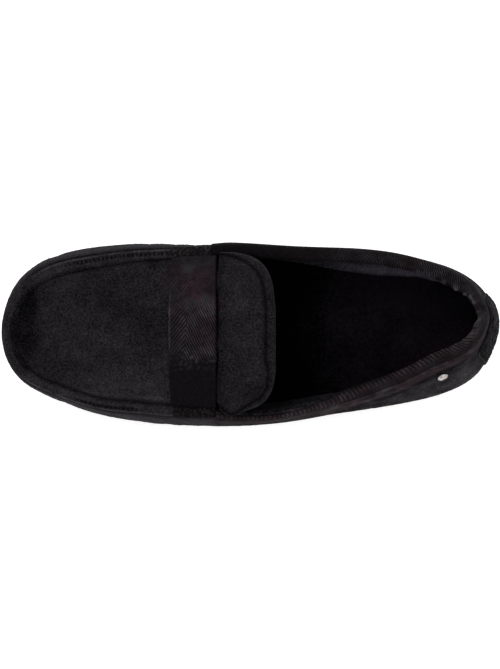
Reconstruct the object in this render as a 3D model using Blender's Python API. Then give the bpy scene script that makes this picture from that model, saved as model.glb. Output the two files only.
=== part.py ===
"""Moccasin slipper, left foot. Millimetres in the tables, metres in the meshes.
-X is the toe, +X the heel, +Y the inner (medial) side, -Y the outer (lateral) side, +Z up."""

import math

import bmesh
import bpy
import numpy as np
from mathutils import Matrix, Vector

for old in list(bpy.data.objects):
    bpy.data.objects.remove(old)

MM = 0.001
GAP = 0.35  # left between pieces that meet
WALL = 3.0  # suede and lining of the upper
COLLAR_WALL = 4.2  # padded upper at the topline
ROLL = 4.5  # radius of the moccasin seam roll
COLLAR_ROUND = 1.6
BELLY_RISE = 12.0  # widest line of the wall above the feather line
SOLE_THICK = 10.0
TOE_SPRING = 6.0
SPRING_FROM = -70.0  # the sole lifts ahead of this x
SPRING_LENGTH = 71.0
ARCH = 2.0  # lift of the waist
ARCH_FROM, ARCH_TO = 6.0, 78.0
HEEL_BEVEL_FROM, HEEL_BEVEL = 122.0, 1.6
SOLE_OUT = 1.0  # the sole stands out past the feather line
INSOLE_THICK = 6.2
BINDING_THICK = 1.25
BINDING_OUT, BINDING_IN = 11.0, 8.0  # how far it comes down outside and inside
BINDING_LAT = ((-25.0, 20.0), (40.0, 20.0), (56.0, 16.5), (85.0, 12.5), (105.0, 11.0), (150.0, 11.0))  # x, how far down on the outer side
BAND_THICK = 1.5
PATCH_THICK = 1.1
PATCH_LOW, PATCH_TOP, PATCH_ROUND = 15.0, 50.0, 7.0
TONGUE_THICK = 4.0
RIVET_RADIUS, RIVET_HIGH = 3.2, 1.4
RIVET_X, RIVET_Z = 111.5, 46.0

# One row per section round the shoe, from the toe tip along the inner side to the heel and back along the outer side.
# x, y: the widest point; tuck: how far the feather line lies inside it; lean: how far the top edge lies inside it;
# top: height of the top edge; lip: from the top edge in to the plug groove (fore part only);
# rake: slope of the wall at its top edge, as a share of the whole wall's slope.
SECTIONS = (
    # name, x, y, tuck, lean, top, lip, rake
    ("toe tip", -145.1, 2.3, 7.0, 0.9, 45.0, 8.5, 1.5),
    ("toe med a", -143.2, 16.5, 7.0, 2.5, 45.0, 7.0, 1.5),
    ("toe med b", -136.5, 31.3, 7.0, 5.4, 46.0, 6.8, 1.5),
    ("toe med c", -121.0, 43.85, 7.0, 6.45, 48.0, 7.6, 1.5),
    ("vamp med a", -94.8, 51.35, 7.0, 7.55, 52.0, 7.4, 1.5),
    ("vamp med b", -62.4, 53.7, 7.4, 6.5, 56.5, 6.3, 1.5),
    ("throat med", -28.1, 52.9, 8.0, 4.5, 60.5, 5.4, 1.4),
    ("collar front med", -22.2, 53.15, 8.2, 4.85, 60.4, 5.4, 1.2),
    ("quarter med a", 5.6, 52.6, 9.6, 4.5, 58.4, 5.4, 1.0),
    ("quarter med b", 41.0, 51.1, 10.5, 4.6, 55.9, 5.4, 1.0),
    ("quarter med c", 79.3, 48.6, 9.0, 5.1, 57.4, 5.4, 1.0),
    ("heel med a", 112.1, 41.5, 7.4, 7.0, 62.4, 5.4, 0.9),
    ("heel med b", 130.85, 32.4, 7.0, 8.9, 66.4, 5.4, 0.7),
    ("heel med c", 141.35, 20.6, 7.0, 10.9, 68.4, 5.4, 0.4),
    ("heel back", 145.5, 8.5, 7.0, 11.3, 69.4, 5.4, 0.2),
    ("heel lat c", 142.5, -6.5, 7.0, 12.4, 68.4, 5.4, 0.4),
    ("heel lat b", 134.6, -21.5, 7.0, 16.0, 66.4, 5.4, 0.9),
    ("heel lat a", 115.0, -33.6, 7.4, 17.9, 61.4, 5.4, 1.2),
    ("quarter lat c", 84.9, -40.85, 8.0, 12.05, 55.4, 5.4, 1.3),
    ("quarter lat b", 52.0, -46.1, 8.4, 6.4, 52.9, 5.4, 1.3),
    ("quarter lat a", 14.3, -51.9, 8.0, 3.4, 55.4, 5.4, 1.2),
    ("collar front lat", -18.6, -53.6, 7.4, 4.6, 58.9, 5.4, 1.2),
    ("throat lat", -25.6, -53.6, 7.2, 4.0, 60.0, 5.6, 1.4),
    ("vamp lat b", -59.1, -51.6, 7.0, 4.2, 57.0, 6.1, 1.5),
    ("vamp lat a", -91.4, -45.75, 7.0, 2.15, 52.5, 6.3, 1.5),
    ("toe lat c", -117.7, -36.2, 7.0, 1.8, 48.5, 6.2, 1.5),
    ("toe lat b", -134.1, -26.8, 7.0, 1.9, 46.0, 6.6, 1.5),
    ("toe lat a", -142.7, -13.75, 7.0, 1.4, 45.0, 7.2, 1.5),
)
THROAT_ROW = 6  # the plug ends at this row; on the outer side at its mirror row
STEPS = (2, 2, 3, 4, 4, 4, 1, 4, 4, 4, 3, 3, 2, 2)  # stations in each gap between rows, toe to heel
GROOVE_DROP = 2.0  # plug groove below the seam roll
TOE_SIDE = 6  # stations either side of the toe tip that make the plug's toe edge
CROWN = ((0.0, 0.0), (0.12, 3.4), (0.3, 6.6), (0.55, 9.6), (0.8, 12.8), (1.0, 15.5))  # share of plug length, rise of its middle
CROWN_POWER = 0.75
BAND_FRONT_X, BAND_REAR_X = -46.4, -19.2

# Tongue, front to back. x; y of its two edges; height of the edges and of the middle (top face).
TONGUE = (
    # x, y_med, y_lat, z_med, z_lat, z_mid
    (-24.4, 38.4, -38.0, 61.0, 61.6, 72.6),
    (-18.9, 40.6, -40.2, 62.3, 62.9, 74.0),
    (-17.2, 45.0, -45.6, 64.4, 65.8, 75.4),
    (-11.0, 44.9, -49.4, 65.6, 67.2, 78.6),
    (-3.0, 43.5, -46.5, 67.4, 68.4, 81.4),
    (4.4, 40.0, -43.8, 70.0, 70.4, 83.6),
    (9.4, 34.4, -40.0, 73.4, 72.8, 85.0),
    (12.8, 25.2, -33.8, 77.6, 76.4, 85.9),
    (14.4, 11.0, -25.0, 82.0, 80.4, 86.4),
)

ROWS = len(SECTIONS)
HALF = sum(STEPS)
STATIONS = 2 * HALF
table = np.array([row[1:] for row in SECTIONS])
belly = table[:, :2]
chord = np.linalg.norm(np.roll(belly, -1, 0) - belly, axis=1)
knots = np.concatenate([[0.0], np.cumsum(chord)])
ROUND = knots[-1]


def second_derivatives(points, h):
    m = len(points)
    a = np.zeros((m, m))
    b = np.zeros_like(points)
    for i in range(m):
        a[i, (i - 1) % m] += h[i - 1]
        a[i, i] += 2 * (h[i - 1] + h[i])
        a[i, (i + 1) % m] += h[i]
        b[i] = 6 * ((points[(i + 1) % m] - points[i]) / h[i] - (points[i] - points[i - 1]) / h[i - 1])
    return np.linalg.solve(a, b)


bend = second_derivatives(belly, chord)


def gap_of(t):
    t = t % ROUND
    i = min(int(np.searchsorted(knots, t, side="right")) - 1, ROWS - 1)
    return i, t - knots[i]


def plan(t):
    """Widest point and outward direction at t mm round the shoe."""
    i, s = gap_of(t)
    j, h = (i + 1) % ROWS, chord[i]
    p0, p1, m0, m1 = belly[i], belly[j], bend[i], bend[j]
    slope = (p1 - p0) / h - h * (2 * m0 + m1) / 6
    point = p0 + slope * s + m0 * s * s / 2 + (m1 - m0) * s**3 / (6 * h)
    run = slope + m0 * s + (m1 - m0) * s * s / (2 * h)
    run = run / np.linalg.norm(run)
    return point, np.array([-run[1], run[0]])


def monotone_slopes(values, h):
    d = (np.roll(values, -1) - values) / h
    back = np.roll(d, 1)
    both = d * back
    return np.where(both > 0, 2 * both / np.where(both > 0, d + back, 1.0), 0.0)


columns = table[:, 2:]
column_slopes = np.stack([monotone_slopes(columns[:, k], chord) for k in range(columns.shape[1])], axis=1)


def sizes(t):
    """tuck, lean, top, lip and rake at t, without overshoot between rows."""
    i, s = gap_of(t)
    j, h = (i + 1) % ROWS, chord[i]
    u = s / h
    return (
        columns[i] * (1 + 2 * u) * (1 - u) ** 2
        + column_slopes[i] * h * u * (1 - u) ** 2
        + columns[j] * u * u * (3 - 2 * u)
        + column_slopes[j] * h * u * u * (u - 1)
    )


def along(pairs, at):
    """A smooth curve through (place, value) pairs."""
    p = np.array(pairs)
    h, d = np.diff(p[:, 0]), np.diff(p[:, 1]) / np.diff(p[:, 0])
    m = np.concatenate([[d[0]], np.where(d[1:] * d[:-1] > 0, 2 * d[1:] * d[:-1] / np.where(d[1:] * d[:-1] > 0, d[1:] + d[:-1], 1.0), 0.0), [d[-1]]])
    at = min(max(at, p[0, 0]), p[-1, 0])
    i = min(int(np.searchsorted(p[:, 0], at, side="right")) - 1, len(h) - 1)
    u = (at - p[i, 0]) / h[i]
    return p[i, 1] * (1 + 2 * u) * (1 - u) ** 2 + m[i] * h[i] * u * (1 - u) ** 2 + p[i + 1, 1] * u * u * (3 - 2 * u) + m[i + 1] * h[i] * u * u * (u - 1)


def sole_bottom(x):
    if x < SPRING_FROM:
        return TOE_SPRING * ((SPRING_FROM - x) / SPRING_LENGTH) ** 2
    if ARCH_FROM < x < ARCH_TO:
        return ARCH * math.sin(math.pi * (x - ARCH_FROM) / (ARCH_TO - ARCH_FROM)) ** 2
    if x > HEEL_BEVEL_FROM:
        return HEEL_BEVEL * ((x - HEEL_BEVEL_FROM) / 16.0) ** 2
    return 0.0


def sole_top(x):
    return SOLE_THICK + (sole_bottom(x) if x < SPRING_FROM else 0.0)


station_t = []
for row in range(ROWS):
    n = STEPS[row] if row < ROWS // 2 else STEPS[ROWS - 1 - row]
    station_t += [knots[row] + chord[row] * k / n for k in range(n)]


def t_of(d):
    """Place round the shoe of station d, which may be a fraction or negative."""
    whole = math.floor(d)
    t0 = station_t[whole % STATIONS] + ROUND * (whole // STATIONS)
    t1 = station_t[(whole + 1) % STATIONS] + ROUND * ((whole + 1) // STATIONS)
    return t0 + (t1 - t0) * (d - whole)


THROAT = sum(STEPS[:THROAT_ROW])
SIDE = THROAT - TOE_SIDE  # stations along each side of the plug


def is_fore(d):
    d = d % STATIONS
    return d <= THROAT + 1e-9 or d >= STATIONS - THROAT - 1e-9


def unit(v):
    return v / np.linalg.norm(v)


LOWER = (0.0, 30.0, 60.0)
UP = 4  # gaps between the widest line and the start of the roll


def profile(t, fore, up=UP):
    """The section at t as (outward, height) pairs from the feather line to the groove or rim, and the frame of its top edge."""
    point, out = plan(t)
    tuck, lean, top, lip, rake = sizes(t)
    zf = sole_top(point[0] - out[0] * tuck) + GAP
    zb = zf + BELLY_RISE
    corner = np.array([-lean, top])
    e1 = unit(np.array([-rake * lean, top - zb]))
    e2 = np.array([-e1[1], e1[0]])
    if fore:
        roll = ROLL
        inward = np.array([-lip, -GROOVE_DROP])
        end = corner + roll * unit(inward)
        last = corner + inward
    else:
        roll = COLLAR_ROUND
        end = corner + COLLAR_ROUND * 0.95 * e2
        last = corner + (COLLAR_WALL / 2 - 0.2) * e2 + 0.12 * e1
    start = corner - roll * e1
    rows = [np.array([-tuck * (1 - math.sin(math.radians(a))), zf + BELLY_RISE * (1 - math.cos(math.radians(a)))]) for a in LOWER]
    base = np.array([0.0, zb])
    length = np.linalg.norm(start - base)
    for k in range(up + 1):
        u = k / up
        rows.append(
            base * (1 + 2 * u) * (1 - u) ** 2
            + np.array([0.0, 1.0]) * length * u * (1 - u) ** 2
            + start * u * u * (3 - 2 * u)
            + e1 * length * u * u * (u - 1)
        )
    for u in (1 / 3, 2 / 3, 1.0):
        rows.append(start * (1 - u) ** 2 + corner * 2 * u * (1 - u) + end * u * u)
    rows.append(last)
    return rows, (corner, e1, e2)


def place(t, pair):
    point, out = plan(t)
    return np.array([point[0] + out[0] * pair[0], point[1] + out[1] * pair[0], pair[1]])


def groove(d):
    rows, _ = profile(t_of(d), True)
    return place(t_of(d), rows[-1])


def crown_shape(s):
    return max(4 * s * (1 - s), 0.0) ** CROWN_POWER


def plug(s, t):
    """The plug: s from the inner to the outer side, t from the toe to the throat."""
    toe = groove(TOE_SIDE * (1 - 2 * s))
    med, lat = groove(TOE_SIDE + SIDE * t), groove(-(TOE_SIDE + SIDE * t))
    a, b = groove(TOE_SIDE), groove(-TOE_SIDE)
    c, d = groove(THROAT), groove(-THROAT)
    throat = c * (1 - s) + d * s
    patch = toe * (1 - t) + throat * t + med * (1 - s) + lat * s - ((1 - t) * ((1 - s) * a + s * b) + t * ((1 - s) * c + s * d))
    patch[2] += along(CROWN, t) * crown_shape(s)
    return patch


def add(name, bm, colour, rough, metal=0.0):
    bmesh.ops.recalc_face_normals(bm, faces=bm.faces)
    mesh = bpy.data.meshes.new(name)
    bm.to_mesh(mesh)
    bm.free()
    ob = bpy.data.objects.new(name, mesh)
    bpy.context.scene.collection.objects.link(ob)
    mat = bpy.data.materials.new(name)
    mat.use_nodes = True
    shader = mat.node_tree.nodes["Principled BSDF"]
    shader.inputs["Base Color"].default_value = (*colour, 1.0)
    shader.inputs["Roughness"].default_value = rough
    shader.inputs["Metallic"].default_value = metal
    mesh.materials.append(mat)
    return ob


def put(bm, p):
    return bm.verts.new((p[0] * MM, p[1] * MM, p[2] * MM))


def skin(bm, grid, closed=False):
    """Quads over a grid of vertices; closed joins the last row to the first."""
    rows = list(grid) + ([grid[0]] if closed else [])
    for a, b in zip(rows, rows[1:]):
        for k in range(len(a) - 1):
            bm.faces.new((a[k], a[k + 1], b[k + 1], b[k]))


def ladder(bm, ring):
    """Closes a ring of stations with rungs from the inner to the outer side."""
    for k in range(HALF):
        med, lat = (ring[k], ring[k + 1]), (ring[-k % STATIONS], ring[(-k - 1) % STATIONS])
        corners = [med[0], med[1], lat[1], lat[0]]
        bm.faces.new([v for i, v in enumerate(corners) if v not in corners[:i]])


def ringed(name, rings, colour, rough):
    """A slab from rings of stations, closed at both ends."""
    bm = bmesh.new()
    made = [[put(bm, p) for p in ring] for ring in rings]
    for a, b in zip(made, made[1:]):
        for k in range(STATIONS):
            j = (k + 1) % STATIONS
            bm.faces.new((a[k], a[j], b[j], b[k]))
    ladder(bm, made[0])
    ladder(bm, made[-1])
    return add(name, bm, colour, rough)


def inset_ring(extra, height):
    """The feather line moved out by extra, at height(x)."""
    ring = []
    for t in station_t:
        point, out = plan(t)
        p = point - out * (sizes(t)[0] - extra)
        ring.append((p[0], p[1], height(p[0])))
    return ring


SUEDE = (0.03, 0.028, 0.03)
CLOTH = (0.035, 0.025, 0.03)
RUBBER = (0.03, 0.03, 0.03)
FLEECE = (0.03, 0.024, 0.026)
SILVER = (0.72, 0.69, 0.68)

# outsole
ringed(
    "outsole",
    (
        inset_ring(SOLE_OUT - 0.6, sole_top),
        inset_ring(SOLE_OUT, lambda x: sole_top(x) - 1.0),
        inset_ring(SOLE_OUT, lambda x: sole_bottom(x) + 2.2),
        inset_ring(SOLE_OUT - 1.8, sole_bottom),
    ),
    RUBBER,
    0.8,
)

# insole, a pad that fills the floor of the upper and follows its rounded corner
ringed(
    "insole",
    (
        inset_ring(-GAP - 0.2, lambda x: sole_top(x) + GAP),
        inset_ring(-GAP - 0.2, lambda x: sole_top(x) + GAP + 2.6),
        inset_ring(2.0, lambda x: sole_top(x) + GAP + INSOLE_THICK),
        inset_ring(-10.0, lambda x: sole_top(x) + GAP + INSOLE_THICK - 1.0),
    ),
    FLEECE,
    0.95,
)

# upper: wall and plug, one sheet, then its inner face and rims
sections = []
for d in range(STATIONS):
    rows, top_frame = profile(t_of(d), is_fore(d))
    sections.append((rows, top_frame))
PER = len(sections[0][0])
sheet = bmesh.new()
wall = [[put(sheet, place(t_of(d), pair)) for pair in sections[d][0]] for d in range(STATIONS)]
for d in range(STATIONS):
    a, b = wall[d], wall[(d + 1) % STATIONS]
    for k in range(PER - 1):
        sheet.faces.new((a[k], a[k + 1], b[k + 1], b[k]))
ACROSS = 2 * TOE_SIDE
patch = []
for r in range(SIDE + 1):
    line = []
    for c in range(ACROSS + 1):
        if r == 0:
            line.append(wall[(TOE_SIDE - c) % STATIONS][-1])
        elif c == 0:
            line.append(wall[TOE_SIDE + r][-1])
        elif c == ACROSS:
            line.append(wall[-(TOE_SIDE + r)][-1])
        else:
            line.append(put(sheet, plug(c / ACROSS, r / SIDE)))
    patch.append(line)
for r in range(SIDE):
    for c in range(ACROSS):
        sheet.faces.new((patch[r][c], patch[r][c + 1], patch[r + 1][c + 1], patch[r + 1][c]))
sheet.normal_update()
sheet.verts.index_update()
inner = {}
for v in sheet.verts:
    inner[v.index] = v.co - v.normal * WALL * MM
for d in range(STATIONS):
    rows, (corner, e1, e2) = sections[d]
    inner[wall[d][0].index] = wall[d][0].co + Vector((0, 0, WALL * MM))
    if is_fore(d):
        continue
    first = len(LOWER) + UP
    for k in range(PER):
        v = wall[d][k]
        if k == 0:
            continue
        if k >= first:
            rel = rows[k] - corner
            pair = corner + (COLLAR_WALL - rel @ e2) * e2 + (rel @ e1) * e1
            inner[v.index] = Vector([float(q) * MM for q in place(t_of(d), pair)])
        elif k > len(LOWER):
            share = (k - len(LOWER)) / UP
            inner[v.index] = v.co - v.normal * (WALL + (COLLAR_WALL - WALL) * share) * MM
edges = [e for e in sheet.edges if len(e.link_faces) == 1]
faces = list(sheet.faces)
twin = {}
for v in list(sheet.verts):
    twin[v] = sheet.verts.new(inner[v.index])
for f in faces:
    sheet.faces.new([twin[v] for v in reversed(f.verts)])
for e in edges:
    a, b = e.verts
    sheet.faces.new((a, b, twin[b], twin[a]))
add("upper", sheet, SUEDE, 0.9)


def plate(name, grid, low, high, colour, rough, metal=0.0):
    """A grid of points (facing the side its cross product points to) made into a plate between two offsets."""
    p = np.array(grid)
    du = np.gradient(p, axis=0)
    dv = np.gradient(p, axis=1)
    n = np.cross(du, dv)
    n /= np.linalg.norm(n, axis=2)[:, :, None]
    bm = bmesh.new()
    a = [[put(bm, q) for q in row] for row in p + n * low]
    b = [[put(bm, q) for q in row] for row in p + n * high]
    skin(bm, a)
    skin(bm, b)
    last_r, last_c = len(a) - 1, len(a[0]) - 1
    for k in range(last_c):
        bm.faces.new((a[0][k], a[0][k + 1], b[0][k + 1], b[0][k]))
        bm.faces.new((a[last_r][k], a[last_r][k + 1], b[last_r][k + 1], b[last_r][k]))
    for k in range(last_r):
        bm.faces.new((a[k][0], a[k + 1][0], b[k + 1][0], b[k][0]))
        bm.faces.new((a[k][last_c], a[k + 1][last_c], b[k + 1][last_c], b[k][last_c]))
    return add(name, bm, colour, rough, metal)


# band: follows the plug, then carries its slope on past the plug's rear edge
shares = [k / ACROSS for k in range(ACROSS + 1)]
shares[0], shares[-1] = 0.012, 0.988
throat_line = [plug(s, 1.0) for s in shares]
before = [plug(s, 0.96) for s in shares]
front_shares = []
for s in shares:
    front_share = 1.0
    while plug(s, front_share)[0] > BAND_FRONT_X - 0.3 + 1.3 * (2 * s - 1) ** 2:
        front_share -= 0.002
    front_shares.append(front_share)
band_rows = []
for k in range(6):
    band_rows.append([plug(s, f + (1.0 - f) * k / 5) for s, f in zip(shares, front_shares)])
for k in (1, 2):
    x = throat_line[6][0] + (BAND_REAR_X - throat_line[6][0]) * k / 2
    line = []
    for p, q in zip(throat_line, before):
        u = (x - p[0]) / (p[0] - q[0])
        line.append(np.array([x, p[1] + (p[1] - q[1]) * u, p[2] + (p[2] - q[2]) * u]))
    band_rows.append(line)
plate("band", [[row[c] for row in band_rows] for c in range(ACROSS + 1)], GAP, GAP + BAND_THICK, CLOTH, 0.85)

# tongue
lines = []
for k in range(25):
    u = k / 24 * (len(TONGUE) - 1)
    values = [along([(i, row[c]) for i, row in enumerate(TONGUE)], u) for c in range(6)]
    x, y_med, y_lat, z_med, z_lat, z_mid = values
    line = []
    for j in range(13):
        b = -math.cos(math.pi * j / 12)
        share = (1 + b) / 2
        edge = z_med * (1 - share) + z_lat * share
        line.append(np.array([x, y_med * (1 - share) + y_lat * share, edge + (z_mid - edge) * (1 - abs(b) ** 2.2)]))
    lines.append(line)
plate("tongue", [[row[c] for row in lines] for c in range(13)], -TONGUE_THICK, 0.0, SUEDE, 0.9)


def offset_path(path, off):
    """A section path moved to its left by off."""
    moved = []
    for k, p in enumerate(path):
        a, b = path[max(k - 1, 0)], path[min(k + 1, len(path) - 1)]
        run = unit(b - a)
        moved.append(p + np.array([run[1], -run[0]]) * off)
    return moved


# collar binding: a fold over the topline from throat to throat round the heel
bm = bmesh.new()
loops = []
for d in range(THROAT + 1, STATIONS - THROAT):
    t = t_of(d)
    rows, (corner, e1, e2) = profile(t, False, 12)
    first = len(LOWER) + 12
    outside = np.array(rows[len(LOWER) : first + 1])
    run = np.concatenate([[0.0], np.cumsum(np.linalg.norm(np.diff(outside, axis=0), axis=1))])
    path = []
    x, y = plan(t)[0]
    comes_down = along(BINDING_LAT, x) if y < 0 else BINDING_OUT
    for share in (1.0, 0.75, 0.5, 0.3):
        want = run[-1] + COLLAR_ROUND - comes_down * share
        path.append(np.array([np.interp(want, run, outside[:, 0]), np.interp(want, run, outside[:, 1])]))
    top = [rows[first], rows[first + 2], rows[first + 3]]
    path += top
    for p in reversed(top):
        rel = p - corner
        path.append(corner + (COLLAR_WALL - rel @ e2) * e2 + (rel @ e1) * e1)
    for down in (BINDING_IN * 0.5, BINDING_IN):
        path.append(corner + (COLLAR_WALL + 0.1) * e2 - down * e1)
    low, high = offset_path(path, GAP), offset_path(path, GAP + BINDING_THICK)
    loops.append([put(bm, place(t, q)) for q in high + low[::-1]])
many = len(loops[0])
for a, b in zip(loops, loops[1:]):
    for k in range(many):
        j = (k + 1) % many
        bm.faces.new((a[k], a[j], b[j], b[k]))
half = many // 2
for loop in (loops[0], loops[-1]):
    for k in range(half - 1):
        bm.faces.new((loop[k], loop[k + 1], loop[many - 2 - k], loop[many - 1 - k]))
add("collar_binding", bm, CLOTH, 0.85)


def wall_at(t, height):
    """A point of the outer wall at a height."""
    rows, _ = profile(t, False, 24)
    pairs = np.array(rows[: len(LOWER) + 25])
    return place(t, (float(np.interp(height, pairs[:, 1], pairs[:, 0])), height))


# heel patch, low on the back of the quarters
PATCH_FROM, PATCH_TO = t_of(HALF - 2.6), t_of(HALF + 3.4)
patch_rows = []
for h in (PATCH_LOW, 18.5, 22.4, 29.5, 36.5, PATCH_TOP - PATCH_ROUND, 45.5, 47.5, 49.0, PATCH_TOP):
    past = min(max(h - (PATCH_TOP - PATCH_ROUND), 0.0), PATCH_ROUND - 0.05)
    trim = PATCH_ROUND - math.sqrt(PATCH_ROUND**2 - past**2)
    patch_rows.append([wall_at(PATCH_FROM + trim + (PATCH_TO - PATCH_FROM - 2 * trim) * k / 12, h) for k in range(13)])
plate("heel_patch", patch_rows, GAP + 0.1, GAP + 0.1 + PATCH_THICK, SUEDE, 0.9)

# rivet on the outer quarter
d = STATIONS - THROAT - 1.0
while wall_at(t_of(d), RIVET_Z)[0] < RIVET_X:
    d -= 0.02
here = wall_at(t_of(d), RIVET_Z)
side = wall_at(t_of(d - 0.3), RIVET_Z) - wall_at(t_of(d + 0.3), RIVET_Z)
rise = wall_at(t_of(d), RIVET_Z + 2) - wall_at(t_of(d), RIVET_Z - 2)
axis = unit(np.cross(side, rise))
bm = bmesh.new()
RIM = (
    # radius share, height share
    (1.0, 0.0),
    (1.0, 0.22),
    (0.86, 0.6),
    (0.55, 0.9),
)
ROUND_STEPS = 20
rings = []
for radius, high in RIM:
    rings.append(
        [
            bm.verts.new(
                (
                    RIVET_RADIUS * radius * math.cos(2 * math.pi * k / ROUND_STEPS) * MM,
                    RIVET_RADIUS * radius * math.sin(2 * math.pi * k / ROUND_STEPS) * MM,
                    RIVET_HIGH * high * MM,
                )
            )
            for k in range(ROUND_STEPS)
        ]
    )
for a, b in zip(rings, rings[1:]):
    for k in range(ROUND_STEPS):
        j = (k + 1) % ROUND_STEPS
        bm.faces.new((a[k], a[j], b[j], b[k]))
bm.faces.new(rings[0])
peak = bm.verts.new((0, 0, RIVET_HIGH * MM))
for k in range(ROUND_STEPS):
    bm.faces.new((rings[-1][k], rings[-1][(k + 1) % ROUND_STEPS], peak))
rivet = add("rivet", bm, SILVER, 0.3, 1.0)
turn = Vector(axis).to_track_quat("Z", "Y").to_matrix().to_4x4()
rivet.matrix_world = Matrix.Translation(Vector([float(q) * MM for q in here + axis * (GAP + 0.15)])) @ turn

# centre the whole shoe over the origin, standing on z = 0
bpy.context.view_layer.update()
pieces = [ob for ob in bpy.data.objects if ob.type == "MESH"]
corners = np.array([ob.matrix_world @ v.co for ob in pieces for v in ob.data.vertices])
low, high = corners.min(axis=0), corners.max(axis=0)
shift = Matrix.Translation((-(low[0] + high[0]) / 2, -(low[1] + high[1]) / 2, -low[2]))
for ob in pieces:
    ob.matrix_world = shift @ ob.matrix_world
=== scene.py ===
"""Looks of the moccasin slipper: suede wall, puckered apron seam, plug, herringbone band and collar binding,
padded tongue, fleece lining and insole, heel patch, rivet and rubber sole, on a white floor.
Tables and sizes are in millimetres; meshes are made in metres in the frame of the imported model."""

import math

import bmesh
import bpy
import numpy as np
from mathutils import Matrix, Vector


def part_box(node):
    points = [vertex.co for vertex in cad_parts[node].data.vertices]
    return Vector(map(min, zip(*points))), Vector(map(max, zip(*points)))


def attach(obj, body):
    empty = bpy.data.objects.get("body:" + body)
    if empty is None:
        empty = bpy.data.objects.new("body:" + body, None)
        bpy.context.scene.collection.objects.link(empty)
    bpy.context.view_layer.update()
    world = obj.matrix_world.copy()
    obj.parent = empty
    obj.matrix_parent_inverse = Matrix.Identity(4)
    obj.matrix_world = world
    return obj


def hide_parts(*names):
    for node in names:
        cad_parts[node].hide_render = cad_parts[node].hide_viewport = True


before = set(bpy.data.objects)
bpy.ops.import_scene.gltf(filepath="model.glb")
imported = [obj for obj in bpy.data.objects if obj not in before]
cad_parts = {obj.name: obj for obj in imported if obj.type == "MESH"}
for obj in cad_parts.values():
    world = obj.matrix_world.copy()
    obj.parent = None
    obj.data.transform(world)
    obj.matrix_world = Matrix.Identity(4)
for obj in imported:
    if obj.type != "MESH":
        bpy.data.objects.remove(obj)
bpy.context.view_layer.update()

MM = 0.001
rng = np.random.default_rng(7)

# ---------------------------------------------------------------- the shoe's own sizes (as in the solids)
GAP = 0.35
WALL = 3.0
COLLAR_WALL = 4.2
ROLL = 4.5
COLLAR_ROUND = 1.6
BELLY_RISE = 12.0
SOLE_THICK = 10.0
TOE_SPRING = 6.0
SPRING_FROM = -70.0
SPRING_LENGTH = 71.0
ARCH = 2.0
ARCH_FROM, ARCH_TO = 6.0, 78.0
HEEL_BEVEL_FROM, HEEL_BEVEL = 122.0, 1.6
SOLE_OUT = 1.0
INSOLE_THICK = 6.2
BINDING_THICK = 1.25
BINDING_OUT, BINDING_IN = 11.0, 8.0
BINDING_LAT = ((-25.0, 20.0), (40.0, 20.0), (56.0, 16.5), (85.0, 12.5), (105.0, 11.0), (150.0, 11.0))
BAND_THICK = 1.5
PATCH_LOW, PATCH_TOP, PATCH_ROUND = 15.0, 50.0, 7.0
TONGUE_THICK = 4.0
RIVET_RADIUS, RIVET_HIGH = 3.2, 1.4
RIVET_X, RIVET_Z = 111.5, 46.0
SECTIONS = (
    # name, x, y, tuck, lean, top, lip, rake
    ("toe tip", -145.1, 2.3, 7.0, 0.9, 45.0, 8.5, 1.5),
    ("toe med a", -143.2, 16.5, 7.0, 2.5, 45.0, 7.0, 1.5),
    ("toe med b", -136.5, 31.3, 7.0, 5.4, 46.0, 6.8, 1.5),
    ("toe med c", -121.0, 43.85, 7.0, 6.45, 48.0, 7.6, 1.5),
    ("vamp med a", -94.8, 51.35, 7.0, 7.55, 52.0, 7.4, 1.5),
    ("vamp med b", -62.4, 53.7, 7.4, 6.5, 56.5, 6.3, 1.5),
    ("throat med", -28.1, 52.9, 8.0, 4.5, 60.5, 5.4, 1.4),
    ("collar front med", -22.2, 53.15, 8.2, 4.85, 60.4, 5.4, 1.2),
    ("quarter med a", 5.6, 52.6, 9.6, 4.5, 58.4, 5.4, 1.0),
    ("quarter med b", 41.0, 51.1, 10.5, 4.6, 55.9, 5.4, 1.0),
    ("quarter med c", 79.3, 48.6, 9.0, 5.1, 57.4, 5.4, 1.0),
    ("heel med a", 112.1, 41.5, 7.4, 7.0, 62.4, 5.4, 0.9),
    ("heel med b", 130.85, 32.4, 7.0, 8.9, 66.4, 5.4, 0.7),
    ("heel med c", 141.35, 20.6, 7.0, 10.9, 68.4, 5.4, 0.4),
    ("heel back", 145.5, 8.5, 7.0, 11.3, 69.4, 5.4, 0.2),
    ("heel lat c", 142.5, -6.5, 7.0, 12.4, 68.4, 5.4, 0.4),
    ("heel lat b", 134.6, -21.5, 7.0, 16.0, 66.4, 5.4, 0.9),
    ("heel lat a", 115.0, -33.6, 7.4, 17.9, 61.4, 5.4, 1.2),
    ("quarter lat c", 84.9, -40.85, 8.0, 12.05, 55.4, 5.4, 1.3),
    ("quarter lat b", 52.0, -46.1, 8.4, 6.4, 52.9, 5.4, 1.3),
    ("quarter lat a", 14.3, -51.9, 8.0, 3.4, 55.4, 5.4, 1.2),
    ("collar front lat", -18.6, -53.6, 7.4, 4.6, 58.9, 5.4, 1.2),
    ("throat lat", -25.6, -53.6, 7.2, 4.0, 60.0, 5.6, 1.4),
    ("vamp lat b", -59.1, -51.6, 7.0, 4.2, 57.0, 6.1, 1.5),
    ("vamp lat a", -91.4, -45.75, 7.0, 2.15, 52.5, 6.3, 1.5),
    ("toe lat c", -117.7, -36.2, 7.0, 1.8, 48.5, 6.2, 1.5),
    ("toe lat b", -134.1, -26.8, 7.0, 1.9, 46.0, 6.6, 1.5),
    ("toe lat a", -142.7, -13.75, 7.0, 1.4, 45.0, 7.2, 1.5),
)
THROAT_ROW = 6
STEPS = (2, 2, 3, 4, 4, 4, 1, 4, 4, 4, 3, 3, 2, 2)
GROOVE_DROP = 2.0
TOE_SIDE = 6
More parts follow.
